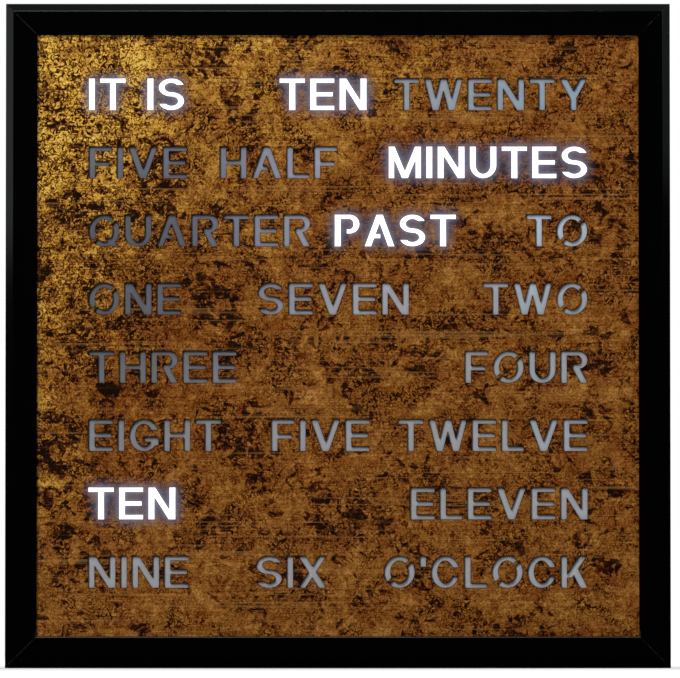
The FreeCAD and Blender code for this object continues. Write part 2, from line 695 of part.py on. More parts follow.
def letter_places(row):
    """Each letter of a row with the place of its lower left corner."""
    foot = f"({row_middle(row)} - cap_height / 2)"
    for text, (start, _) in zip(ROWS[row], word_spans(row)):
        for index, letter in enumerate(text):
            if letter != " ":
                yield letter, (f"({start} + {advance(text[:index])})", f"({LIP_BACK} - overcut)", foot)


def face_plate():
    """The metal plate with every letter cut through it."""
    body = doc.addObject("PartDesign::Body", "plate_blank")
    outline = sketch_on(body, "XZ_Plane", "plate_outline")
    z = (up(f"-{STACK_HALF_HEIGHT}"), up(STACK_HALF_HEIGHT))
    add_polygon(outline, rectangle(either_side(STACK_HALF_WIDTH), z))
    pad = body.newObject("PartDesign::Pad", "plate_pad")
    pad.Profile = outline
    pad.setExpression("Length", bound("plate_thickness"))
    body.setExpression("Placement.Base.y", bound(PLATE_BACK))

    letters = []
    for row in range(len(ROWS)):
        for letter, corner in letter_places(row):
            letters += copies(f"cut_{letter_master(letter).Name}", letter_master(letter), [corner])
    plate = doc.addObject("Part::Cut", "plate_piece")
    plate.Base = body
    plate.Tool = group("plate_letters", letters)
    return node(plate, "face_plate")


# ---------------------------------------------------------------- light behind the letters

# The row walls that carry a screw, counted from the middle of the block of words.
GRID_SCREW_ROWS = (-3, -1, 1, 3)


def cell_edges(row):
    """The walls between the cells of one row: half way between each word and the next."""
    spans = word_spans(row)
    edges = [f"(-{TEXT_WIDTH} / 2 - cell_margin)"]
    edges += [f"(({left[1]} + {right[0]}) / 2)" for left, right in zip(spans, spans[1:])]
    return edges + [f"({TEXT_WIDTH} / 2 + cell_margin)"]


def row_band(row):
    """The lower and upper walls of one row of cells."""
    return either_side(f"{ROW_PITCH} / 2", row_middle(row))


def inside(low, high):
    """A stretch between two walls of the light grid, less half a wall at each end."""
    return f"({low} + grid_wall / 2)", f"({high} - grid_wall / 2)"


def grid_screw_places():
    """The screws of the LED board stand on the row walls, midway across the side margins."""
    margin_outside = f"({STACK_HALF_WIDTH} - grid_border)"
    margin_inside = f"({TEXT_WIDTH} / 2 + cell_margin)"
    for side in ("", "-"):
        for rows_from_middle in GRID_SCREW_ROWS:
            z = up(f"text_rise + {rows_from_middle} * {ROW_PITCH}")
            yield f"{side}(({margin_outside} + {margin_inside}) / 2)", z


def light_grid():
    """A moulded tray with one cell for each word, and bosses for the LED board's screws."""
    depth = (DIFFUSER_BACK, GRID_BACK)
    z = (up(f"-{STACK_HALF_HEIGHT}"), up(STACK_HALF_HEIGHT))
    tray = block("grid_block", either_side(STACK_HALF_WIDTH), depth, z)
    cutters = []
    through = past(*depth)
    border_x = either_side(f"({STACK_HALF_WIDTH} - grid_border)")
    for row in range(len(ROWS)):
        edges = [border_x[0]] + cell_edges(row) + [border_x[1]]
        for index, (low, high) in enumerate(zip(edges, edges[1:])):
            left, right = inside(low, high)
            left = low if index == 0 else left
            right = high if index == len(edges) - 2 else right
            cutters.append(block("grid_cell", (left, right), through, inside(*row_band(row))))
    border = f"({STACK_HALF_HEIGHT} - grid_border)"
    border_foot, border_head = up(f"-{border}"), up(border)
    rows_foot, rows_head = row_band(len(ROWS) - 1)[0], row_band(0)[1]
    cutters.append(block("grid_head", border_x, through, (f"({rows_head} + grid_wall / 2)", border_head)))
    cutters.append(block("grid_foot", border_x, through, (border_foot, f"({rows_foot} - grid_wall / 2)")))
    walls = difference("grid_walls", tray, cutters)
    bosses = [rod("grid_boss", "grid_boss_radius", x, depth, z) for x, z in grid_screw_places()]
    hole_depth = past(f"{depth[1]} - screw_length", depth[1])
    holes = [rod("grid_hole", HOLE_RADIUS, x, hole_depth, z) for x, z in grid_screw_places()]
    return node(difference("grid_piece", union("grid_bossed", [walls] + bosses), holes), "light_grid")


def diffuser():
    z = (up(f"-{STACK_HALF_HEIGHT}"), up(STACK_HALF_HEIGHT))
    sheet_block = block("diffuser_sheet", either_side(STACK_HALF_WIDTH), (PLATE_BACK, DIFFUSER_BACK), z)
    return node(sheet_block, "diffuser")


def led_board():
    x = either_side(f"({STACK_HALF_WIDTH} - led_board_inset)")
    reach = f"({STACK_HALF_HEIGHT} - led_board_inset)"
    board = block("led_board_blank", x, (GRID_BACK, LED_BOARD_BACK), (up(f"-{reach}"), up(reach)))
    through = past(GRID_BACK, LED_BOARD_BACK)
    holes = [rod("led_board_hole", HOLE_RADIUS, x, through, z) for x, z in grid_screw_places()]
    return node(difference("led_board_piece", board, holes), "led_board")


def led_nodes():
    """LED packages: one for each letter, spread over the width of its word."""
    package_x, package_z = either_side("led_length / 2"), either_side("led_width / 2")
    package = block("led_package", package_x, ("-led_height", "0"), package_z)
    window_depth = ("-led_height - overcut", "-led_height + led_window_depth")
    window = rod("led_window_cut", "led_window", "0", window_depth, "0")
    master = difference("led_master", package, [window])
    for row, words in enumerate(ROWS):
        unlit = []
        for index, (text, (left, right)) in enumerate(zip(words, word_spans(row))):
            count = len(text.replace(" ", ""))
            spots = [
                (f"({left} + ({right} - {left}) * {(n + 0.5) / count:.4f})", GRID_BACK, row_middle(row))
                for n in range(count)
            ]
            links = copies(f"led_row_{row + 1}", master, spots)
            if (row, index) in LIT_WORDS:
                label = LIT_WORDS[row, index]
                node(group(f"{label}_group", links), label)
            else:
                unlit += links
        node(group(f"leds_row_{row + 1}_group", unlit), f"leds_row_{row + 1}")


# ---------------------------------------------------------------- screws


def cross_recess(name, depth):
    """The two crossed slots of a screw's recess."""
    return [
        block(f"{name}_slot", either_side("drive_length / 2"), depth, either_side("drive_width / 2")),
        block(f"{name}_slot", either_side("drive_width / 2"), depth, either_side("drive_length / 2")),
    ]


def countersunk_screw(name):
    """A screw whose head is level with y = 0 and faces +Y, with a cross recess."""
    head = cone(f"{name}_head", ("screw_radius", "head_radius"), "0", ("-head_depth", "0"), "0")
    shank = rod(f"{name}_shank", "screw_radius", "0", ("-screw_length", "-head_depth"), "0")
    recess = ("-drive_depth", "overcut")
    return difference(f"{name}_master", union(f"{name}_solid", [head, shank]), cross_recess(name, recess))


def pan_screw(name, forward):
    """A screw whose flat-backed head stands on y = 0 and faces -Y if forward, else +Y."""
    head_y, shank_y = ("0", "head_depth"), ("-screw_length", "0")
    recess = ("head_depth - drive_depth", "head_depth + overcut")
    if forward:
        head_y, shank_y = ("-head_depth", "0"), ("0", "screw_length")
        recess = ("-head_depth - overcut", "-head_depth + drive_depth")
    head = rod(f"{name}_head", "head_radius", "0", head_y, "0")
    shank = rod(f"{name}_shank", "screw_radius", "0", shank_y, "0")
    return difference(f"{name}_master", union(f"{name}_solid", [head, shank]), cross_recess(name, recess))


def four_corners(across, along):
    """Places at a distance in from both sides of all four corners of the frame."""
    for side in ("", "-"):
        for level in ("", "-"):
            yield f"{side}({HALF_WIDTH} - {across})", up(f"{level}({HALF_HEIGHT} - {along})")


def frame_screw_places():
    for place in ("frame_screw_near", "frame_screw_far"):
        yield from four_corners(place, "frame_screw_line")
        yield from four_corners("frame_screw_line", place)


def cover_screw_places():
    yield from four_corners("cover_screw_place", "cover_screw_line")
    yield from four_corners("cover_screw_line", "cover_screw_place")


def control_boss_places():
    for side in ("", "-"):
        for z in ("(control_bottom + boss_inset)", "(control_top - boss_inset)"):
            yield f"{side}(control_width / 2 - boss_inset)", up(z)


def screws():
    sunk = countersunk_screw("sunk_screw")
    pan = pan_screw("pan_screw", forward=False)
    forward_pan = pan_screw("forward_screw", forward=True)
    in_frame = [(x, "0", z) for x, z in frame_screw_places()]
    node(group("bracket_screw_group", copies("bracket_screw", sunk, in_frame)), "bracket_screws")
    in_cover = [(x, "0", z) for x, z in cover_screw_places()]
    node(group("cover_screw_group", copies("cover_screw", sunk, in_cover)), "rear_cover_screws")
    on_board = [(x, LED_BOARD_BACK, z) for x, z in grid_screw_places()]
    node(group("grid_screw_group", copies("grid_screw", pan, on_board)), "grid_screws")
    before_board = [(x, CONTROL_FRONT, z) for x, z in control_boss_places()]
    board_screws = copies("board_screw", forward_pan, before_board)
    node(group("board_screw_group", board_screws), "control_board_screws")


# ---------------------------------------------------------------- corner brackets


def corner_bracket(label, turn, side, level):
    """A flat L that lies in the frame's channel and carries the cover's screws."""
    body = doc.addObject("PartDesign::Body", label)
    outline = sketch_on(body, "XZ_Plane", f"{label}_outline")
    start = "(rail_wall + bracket_side_gap)"
    inner = f"({start} + bracket_width)"
    add_polygon(outline, [
        (start, start), ("bracket_leg", start), ("bracket_leg", inner),
        (inner, inner), (inner, "bracket_leg"), (start, "bracket_leg"),
    ])
    pad = body.newObject("PartDesign::Pad", f"{label}_pad")
    pad.Profile = outline
    pad.setExpression("Length", bound(f"{BRACKET_BACK} - {BRACKET_FRONT}"))
    holes = sketch_on(body, "XZ_Plane", f"{label}_holes")
    for across, along in (
        ("frame_screw_near", "frame_screw_line"), ("frame_screw_far", "frame_screw_line"),
        ("cover_screw_place", "cover_screw_line"),
    ):
        add_circle(holes, across, along, HOLE_RADIUS)
        add_circle(holes, along, across, HOLE_RADIUS)
    doc.recompute()
    drill = body.newObject("PartDesign::Pocket", f"{label}_drill")
    drill.Profile = holes
    drill.SideType = "Symmetric"
    drill.setExpression("Length", bound("2 * channel_width + overcut"))
    doc.recompute()
    body.Placement.Rotation = FreeCAD.Rotation(V(0, 1, 0), turn)
    set_base(body, f"{side}{HALF_WIDTH}", BRACKET_BACK, up(f"{level}{HALF_HEIGHT}"))
    return node(body, label)


# ---------------------------------------------------------------- rear cover and what is in it


BOARD_LEFT, BOARD_RIGHT = either_side("control_width / 2")
BATTERY_X = f"({BOARD_LEFT} + holder_inset)"
BATTERY_Z = up("holder_z")
SWITCH_Z = up("switch_rise")
SWITCHES = [
    (name, f"({BOARD_RIGHT} - switch_inset - {steps} * switch_pitch)")
    for steps, name in enumerate(("light", "minute", "hour"))
]
JACK_Y = f"({CONTROL_BACK} + jack_height / 2)"
JACK_BOTTOM = up("(control_bottom + jack_edge_gap)")
BAY_TOP = up("bay_top")
BAY_BOTTOM = up("(bay_top - bay_height)")
VENT_COUNT = 8


def square(half, y, x, z):
    return either_side(half, x), y, either_side(half, z)


def keyhole(name, x):
    """A round hole that a screw's head passes, with a slot up to where its shank rests."""
    through = past(COVER_FRONT, "0")
    top = "keyhole_travel"
    return [
        rod(f"{name}_hole", "keyhole_radius", x, through, "0"),
        block(f"{name}_slot", either_side("keyhole_slot / 2", x), through, ("0", top)),
        rod(f"{name}_end", "keyhole_slot / 2", x, through, top),
    ]


def post_places():
    for side in ("", "-"):
        for level in ("", "-"):
            yield f"{side}post_spread", up(f"{level}({HALF_HEIGHT} - post_inset)")
            yield f"{side}({HALF_WIDTH} - post_inset)", up(f"{level}post_spread")


def rear_cover():
    half_width = f"({HALF_WIDTH} - flange_reach - cover_clearance)"
    half_height = f"({HALF_HEIGHT} - flange_reach - cover_clearance)"
    through = past(COVER_FRONT, "0")
    z = (up(f"-{half_height}"), up(half_height))
    panel = block("cover_panel", either_side(half_width), (COVER_FRONT, "0"), z)
    bay_half = "(bay_width / 2 + bay_wall)"
    bay = block("bay_shell", either_side(bay_half), ("-bay_depth - bay_wall", COVER_FRONT),
                (f"({BAY_BOTTOM} - bay_wall)", f"({BAY_TOP} + bay_wall)"))
    post = (LED_BOARD_BACK, COVER_FRONT)
    posts = [rod("cover_post", "post_radius", x, post, z) for x, z in post_places()]
    boss = (CONTROL_BACK, COVER_FRONT)
    bosses = [rod("cover_boss", "boss_radius", x, boss, z) for x, z in control_boss_places()]
    solid = union("cover_solid", [panel, bay] + posts + bosses)

    bay_y = ("-bay_depth", "overcut")
    cuts = [block("bay_space", either_side("bay_width / 2"), bay_y, (BAY_BOTTOM, BAY_TOP))]
    cuts += keyhole("left_keyhole", "(-keyhole_spacing / 2)")
    cuts += keyhole("right_keyhole", "(keyhole_spacing / 2)")
    screw_end = f"({CONTROL_FRONT} + screw_length + boss_hole_spare)"
    boss_hole = (f"({CONTROL_BACK} - overcut)", screw_end)
    cuts += [rod("boss_hole", HOLE_RADIUS, x, boss_hole, z) for x, z in control_boss_places()]
    cuts += [rod("cover_hole", HOLE_RADIUS, x, through, z) for x, z in cover_screw_places()]
    cuts += [countersink("cover_sink", x, z) for x, z in cover_screw_places()]
    button_hole = "(button_radius + button_clearance)"
    cuts += [rod("button_hole", button_hole, x, through, SWITCH_Z) for _, x in SWITCHES]
    cuts.append(block("battery_window", *square("window_size / 2", through, BATTERY_X, BATTERY_Z)))
    rebate = ("-rebate_depth", "overcut")
    rebate_half = "(window_size / 2 + rebate_width)"
    cuts.append(block("battery_rebate", *square(rebate_half, rebate, BATTERY_X, BATTERY_Z)))
    bay_roof = past(BAY_TOP, f"{BAY_TOP} + bay_wall")
    cuts.append(standing_rod("nose_hole", "jack_nose_radius + jack_nose_clearance", "0", JACK_Y, bay_roof))
    for side in ("", "-"):
        vent_x = either_side("vent_length / 2", f"{side}vent_offset")
        for index in range(VENT_COUNT):
            vent_z = either_side("vent_width / 2", up(f"(vent_rise + {index} * vent_pitch)"))
            cuts.append(block("vent", vent_x, through, vent_z))
    return node(difference("cover_piece", solid, cuts), "rear_cover")


def battery_door():
    """A lift-off door in the rebate round the battery window, with a finger notch."""
    lid_half = "(window_size / 2 + rebate_width - door_clearance)"
    lid = block("door_lid", *square(lid_half, ("-rebate_depth", "0"), BATTERY_X, BATTERY_Z))
    plug_half = "(window_size / 2 - door_clearance)"
    plug_depth = ("-rebate_depth - door_plug_depth", "-rebate_depth")
    plug = block("door_plug", *square(plug_half, plug_depth, BATTERY_X, BATTERY_Z))
    notch_z = f"({BATTERY_Z} + window_size / 2)"
    notch = rod("door_notch", "notch_radius", BATTERY_X, ("-notch_depth", "overcut"), notch_z)
    return node(difference("door_piece", union("door_solid", [lid, plug]), [notch]), "battery_door")


def wall_pads():
    """Four rubber feet that hold the clock off the wall."""
    pad = cone("pad_master", ("pad_radius", "pad_radius - pad_taper"), "0", ("0", "pad_thickness"), "0")
    master = union("pad_union", [pad, rod("pad_core", "pad_radius / 2", "0", ("0", "pad_thickness"), "0")])
    places = [(x, "0", z) for x, z in four_corners("pad_inset", "pad_inset")]
    return node(group("pad_group", copies("pad", master, places)), "wall_pads")


# ---------------------------------------------------------------- control board


def control_board():
    z = (up("control_bottom"), up("control_top"))
    board = block("control_blank", either_side("control_width / 2"), (CONTROL_FRONT, CONTROL_BACK), z)
    through = past(CONTROL_FRONT, CONTROL_BACK)
    holes = [rod("control_hole", HOLE_RADIUS, x, through, z) for x, z in control_boss_places()]
    return node(difference("control_piece", board, holes), "control_board")


def chip(name, x, z, width, height, leads):
    """A chip's body on the back of the control board, with leads above and below it."""
    body_y = (CONTROL_BACK, f"({CONTROL_BACK} + chip_height)")
    pieces = [block(f"{name}_body", either_side(f"{width} / 2", x), body_y, either_side(f"{height} / 2", z))]
    lead_y = (CONTROL_BACK, f"({CONTROL_BACK} + lead_thickness)")
    lead_z = either_side(f"({height} / 2 + lead_length)", z)
    for index in range(leads):
        lead_x = either_side("lead_width / 2", f"({x} + {index - (leads - 1) / 2} * lead_pitch)")
        pieces.append(block(f"{name}_lead", lead_x, lead_y, lead_z))
    return union(f"{name}_chip", pieces)


CONTROLLER_LEADS = 8
TIMER_LEADS = 4
DRIVER_LEADS = 9
REGULATOR_LEADS = 3
DRIVER_COUNT = 3
CAPACITOR_COUNT = 2


def small_chips():
    """The chips, by node: each one has leads along its upper and lower sides."""
    controller = chip("controller", "controller_x", up("controller_z"),
                      "controller_width", "controller_height", CONTROLLER_LEADS)
    node(controller, "microcontroller")
    timer = chip("timer", f"({BOARD_LEFT} + timer_inset)", up("timer_row_z"),
                 "timer_width", "timer_height", TIMER_LEADS)
    node(timer, "clock_chip")
    drivers = []
    for steps in range(DRIVER_COUNT):
        x = f"({BOARD_RIGHT} - driver_inset - {steps} * driver_pitch)"
        drivers.append(chip(f"driver_{steps}", x, up("driver_z"),
                            "driver_width", "driver_height", DRIVER_LEADS))
    node(group("driver_group", drivers), "led_drivers")
    regulator = chip("regulator", f"({BOARD_RIGHT} - regulator_inset)", up("power_row_z"),
                     "regulator_width", "regulator_height", REGULATOR_LEADS)
    node(regulator, "voltage_regulator")


def capacitors():
    """Two upright cans, each on a square base plate."""
    base_top = f"({CONTROL_BACK} + capacitor_base)"
    can_y = (base_top, f"({CONTROL_BACK} + capacitor_height)")
    z = up("power_row_z")
    pieces = []
    for steps in range(CAPACITOR_COUNT):
        x = f"({BOARD_RIGHT} - capacitor_inset - {steps} * capacitor_pitch)"
        foot = block("capacitor_foot", *square("capacitor_radius", (CONTROL_BACK, base_top), x, z))
        can = rod("capacitor_can", "capacitor_radius", x, can_y, z)
        pieces.append(union("capacitor", [foot, can]))
    node(group("capacitor_group", pieces), "capacitors")


def clock_crystal():
    """A flat can with round ends."""
    y = (CONTROL_BACK, f"({CONTROL_BACK} + crystal_height)")
    z = up("timer_row_z")
    half_straight = "(crystal_length / 2 - crystal_width / 2)"
    straight = either_side(half_straight, f"({BOARD_LEFT} + crystal_inset)")
    ends = [rod("crystal_end", "crystal_width / 2", x, y, z) for x in straight]
    middle = block("crystal_middle", straight, y, either_side("crystal_width / 2", z))
    node(union("crystal_piece", [middle] + ends), "clock_crystal")


def coin_cell():
    """A holder with a round pocket, and the cell in it."""
    holder_back = f"({CONTROL_BACK} + holder_floor + cell_thickness)"
    body_y = (CONTROL_BACK, holder_back)
    body = block("holder_block", *square("holder_size / 2", body_y, BATTERY_X, BATTERY_Z))
    floor = f"({CONTROL_BACK} + holder_floor)"
    pocket_y = (floor, f"({holder_back} + overcut)")
    pocket = rod("holder_pocket", "cell_radius + cell_gap", BATTERY_X, pocket_y, BATTERY_Z)
    node(difference("holder_piece", body, [pocket]), "coin_cell_holder")
    node(rod("cell_piece", "cell_radius", BATTERY_X, (floor, holder_back), BATTERY_Z), "coin_cell")


def power_socket():
    """A barrel socket whose mouth opens down into the service bay."""
    body_y = (CONTROL_BACK, f"({CONTROL_BACK} + jack_height)")
    body_z = (JACK_BOTTOM, f"({JACK_BOTTOM} + jack_length)")
    body = block("jack_block", either_side("jack_width / 2"), body_y, body_z)
    nose = standing_rod("jack_nose", "jack_nose_radius", "0", JACK_Y, (BAY_TOP, JACK_BOTTOM))
    bore_end = f"({BAY_TOP} + jack_bore_depth)"
    bore = standing_rod("jack_bore", "jack_bore_radius", "0", JACK_Y, (f"({BAY_TOP} - overcut)", bore_end))
    pin_z = (f"({BAY_TOP} + jack_pin_setback)", bore_end)
    pin = standing_rod("jack_pin", "jack_pin_radius", "0", JACK_Y, pin_z)
    shell = difference("jack_shell", union("jack_solid", [body, nose]), [bore])
    return node(union("jack_piece", [shell, pin]), "dc_jack")


PIN_COUNT = 10


def board_connector():
    """A pin strip on the LED board that plugs into a socket strip on the control board."""
    strip_x = either_side(f"({PIN_COUNT} * header_pitch / 2)")
    z = up("header_z")
    strip_z = either_side("header_width / 2", z)
    strip_back = f"({LED_BOARD_BACK} + header_height)"
    strip = block("pin_strip", strip_x, (LED_BOARD_BACK, strip_back), strip_z)
    socket = block("socket_strip", strip_x, (strip_back, CONTROL_FRONT), strip_z)
    pin_end = f"({strip_back} + pin_reach)"
    pin_y = (strip_back, pin_end)
    hole_y = (f"({strip_back} - overcut)", f"({pin_end} + pin_clearance)")
    hole_half = "(pin_width / 2 + pin_clearance)"
    pins, holes = [], []
    for index in range(PIN_COUNT):
        x = f"({index - (PIN_COUNT - 1) / 2} * header_pitch)"
        pins.append(block("pin", *square("pin_width / 2", pin_y, x, z)))
        holes.append(block("pin_hole", *square(hole_half, hole_y, x, z)))
    node(union("pin_strip_piece", [strip] + pins), "pin_header")
    node(difference("socket_strip_piece", socket, holes), "header_socket")


def switches():
    """Three switches on the control board, each with a stem and a button over it."""
    body_back = f"({CONTROL_BACK} + switch_height)"
    bore_floor = f"({body_back} - stem_seat - button_travel - travel_spare)"
    stem_end = f"({body_back} + stem_rise)"
    collar_back = f"({COVER_FRONT} - collar_gap)"
    bodies = []
    for name, x in SWITCHES:
        body = block(f"{name}_body", *square("switch_size / 2", (CONTROL_BACK, body_back), x, SWITCH_Z))
        bore_y = (bore_floor, f"({body_back} + overcut)")
        bore = rod(f"{name}_bore", "stem_radius + stem_clearance", x, bore_y, SWITCH_Z)
        bodies.append(difference(f"{name}_switch", body, [bore]))
        stem = rod(f"{name}_stem", "stem_radius", x, (f"({body_back} - stem_seat)", stem_end), SWITCH_Z)
        node(stem, f"{name}_switch_stem")
        button(name, x, stem_end, collar_back)
    node(group("switch_group", bodies), "switch_bodies")


def button(name, x, foot, collar_back):
    """A round cap with a retaining collar behind the cover, a rounded edge and a shallow dish."""
    top = "button_stand"
    cap = doc.addObject("Part::Cylinder", f"{name}_cap")
    cap.setExpression("Radius", bound("button_radius"))
    cap.setExpression("Height", bound(f"{top} - {foot}"))
    cap.Placement.Rotation = FreeCAD.Rotation(V(1, 0, 0), -90)
    set_base(cap, x, foot, SWITCH_Z)
    doc.recompute()
    rim = max(range(len(cap.Shape.Edges)), key=lambda n: cap.Shape.Edges[n].CenterOfMass.y) + 1
    rounded = doc.addObject("Part::Fillet", f"{name}_rounded")
    rounded.Base = cap
    rounded.Edges = [(rim, size("button_round"), size("button_round"))]
    collar_front = f"({collar_back} - collar_thickness)"
    collar = rod(f"{name}_collar", "collar_radius", x, (collar_front, collar_back), SWITCH_Z)
    dish = cone(f"{name}_dish", ("button_radius / 3", "button_radius * 2 / 3"), x,
                (f"({top} - button_dish)", top), SWITCH_Z)
    solid = union(f"{name}_solid", [rounded, collar])
    return node(difference(f"{name}_piece", solid, [dish]), f"{name}_button")


# ---------------------------------------------------------------- the clock


def build():
    top, bottom = up(HALF_HEIGHT), up(f"-{HALF_HEIGHT}")
    frame_rail("frame_top", HALF_WIDTH, 0, "0", top)
    frame_rail("frame_bottom", HALF_WIDTH, 180, "0", bottom)
    frame_rail("frame_left", HALF_HEIGHT, -90, f"-{HALF_WIDTH}", up("0"))
    frame_rail("frame_right", HALF_HEIGHT, 90, HALF_WIDTH, up("0"))
    corner_bracket("bracket_bottom_left", 0, "-", "-")
    corner_bracket("bracket_top_left", 90, "-", "")
    corner_bracket("bracket_top_right", 180, "", "")
    corner_bracket("bracket_bottom_right", 270, "", "-")
    face_plate()
    diffuser()
    light_grid()
    led_board()
    led_nodes()
    control_board()
    small_chips()
    capacitors()
    clock_crystal()
    coin_cell()
    power_socket()
    board_connector()
    switches()
    rear_cover()
    battery_door()
    wall_pads()
    screws()
    doc.recompute()


def check_and_export():
    """Stops on a failed object or an empty shape, then writes one STEP file for each node."""
    for item in doc.Objects:
        if "Invalid" in item.State or "Error" in item.State:
            raise RuntimeError(f"{item.Name} ({item.Label}) failed: {item.State}")
    for item in nodes:
        if item.Shape.isNull() or not item.Shape.isValid() or not item.Shape.Solids:
            raise RuntimeError(f"{item.Label} has no valid solid")
    os.makedirs("parts", exist_ok=True)
    for item in nodes:
        item.Shape.exportStep(f"parts/{item.Label}.step")
        print(f"{item.Label}: {len(item.Shape.Solids)} solids, {item.Shape.Volume:.1f} mm3")


build()
check_and_export()
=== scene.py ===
"""Studio scene of the word clock: camera, light and the finish of every piece."""
import math

import bpy
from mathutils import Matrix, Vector


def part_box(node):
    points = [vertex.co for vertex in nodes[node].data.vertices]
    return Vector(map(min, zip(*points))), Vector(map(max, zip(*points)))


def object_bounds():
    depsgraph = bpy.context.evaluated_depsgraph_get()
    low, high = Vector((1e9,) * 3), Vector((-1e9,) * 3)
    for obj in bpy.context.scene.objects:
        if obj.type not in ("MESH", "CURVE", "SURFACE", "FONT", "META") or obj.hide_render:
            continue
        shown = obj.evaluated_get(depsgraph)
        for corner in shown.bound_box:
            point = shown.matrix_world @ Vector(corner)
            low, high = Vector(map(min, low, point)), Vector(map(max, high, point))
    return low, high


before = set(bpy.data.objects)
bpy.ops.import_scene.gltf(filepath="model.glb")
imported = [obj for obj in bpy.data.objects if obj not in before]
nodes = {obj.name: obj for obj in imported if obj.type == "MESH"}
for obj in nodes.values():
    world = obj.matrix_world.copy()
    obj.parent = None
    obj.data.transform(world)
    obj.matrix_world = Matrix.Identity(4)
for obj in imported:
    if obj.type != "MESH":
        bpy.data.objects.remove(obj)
cad_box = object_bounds()

MM = 0.001
MIDDLE_X = (cad_box[0].x + cad_box[1].x) / 2
MIDDLE_Z = (cad_box[0].z + cad_box[1].z) / 2
FRONT_Y = cad_box[0].y
FLOOR_Z = cad_box[0].z


# Camera: a long lens, a little below the middle of the clock and looking up at it.

PICTURE_WIDTH = 680
FOCAL_PIXELS = 7549
SENSOR_WIDTH = 36.0
CAMERA_DISTANCE = 3.4
CAMERA_DROP = 143 * MM
CAMERA_PITCH = math.radians(2.379)
CAMERA_YAW = math.radians(-0.016)


def make_camera():
    data = bpy.data.cameras.new("camera")
    data.sensor_width = SENSOR_WIDTH
    data.lens = SENSOR_WIDTH * FOCAL_PIXELS / PICTURE_WIDTH
    data.clip_start = 0.1
    data.clip_end = 50.0
    camera = bpy.data.objects.new("camera", data)
    camera.location = (MIDDLE_X, FRONT_Y - CAMERA_DISTANCE, MIDDLE_Z - CAMERA_DROP)
    camera.rotation_euler = (math.pi / 2 + CAMERA_PITCH, 0.0, CAMERA_YAW)
    bpy.context.scene.collection.objects.link(camera)
    bpy.context.scene.camera = camera


# Shader trees

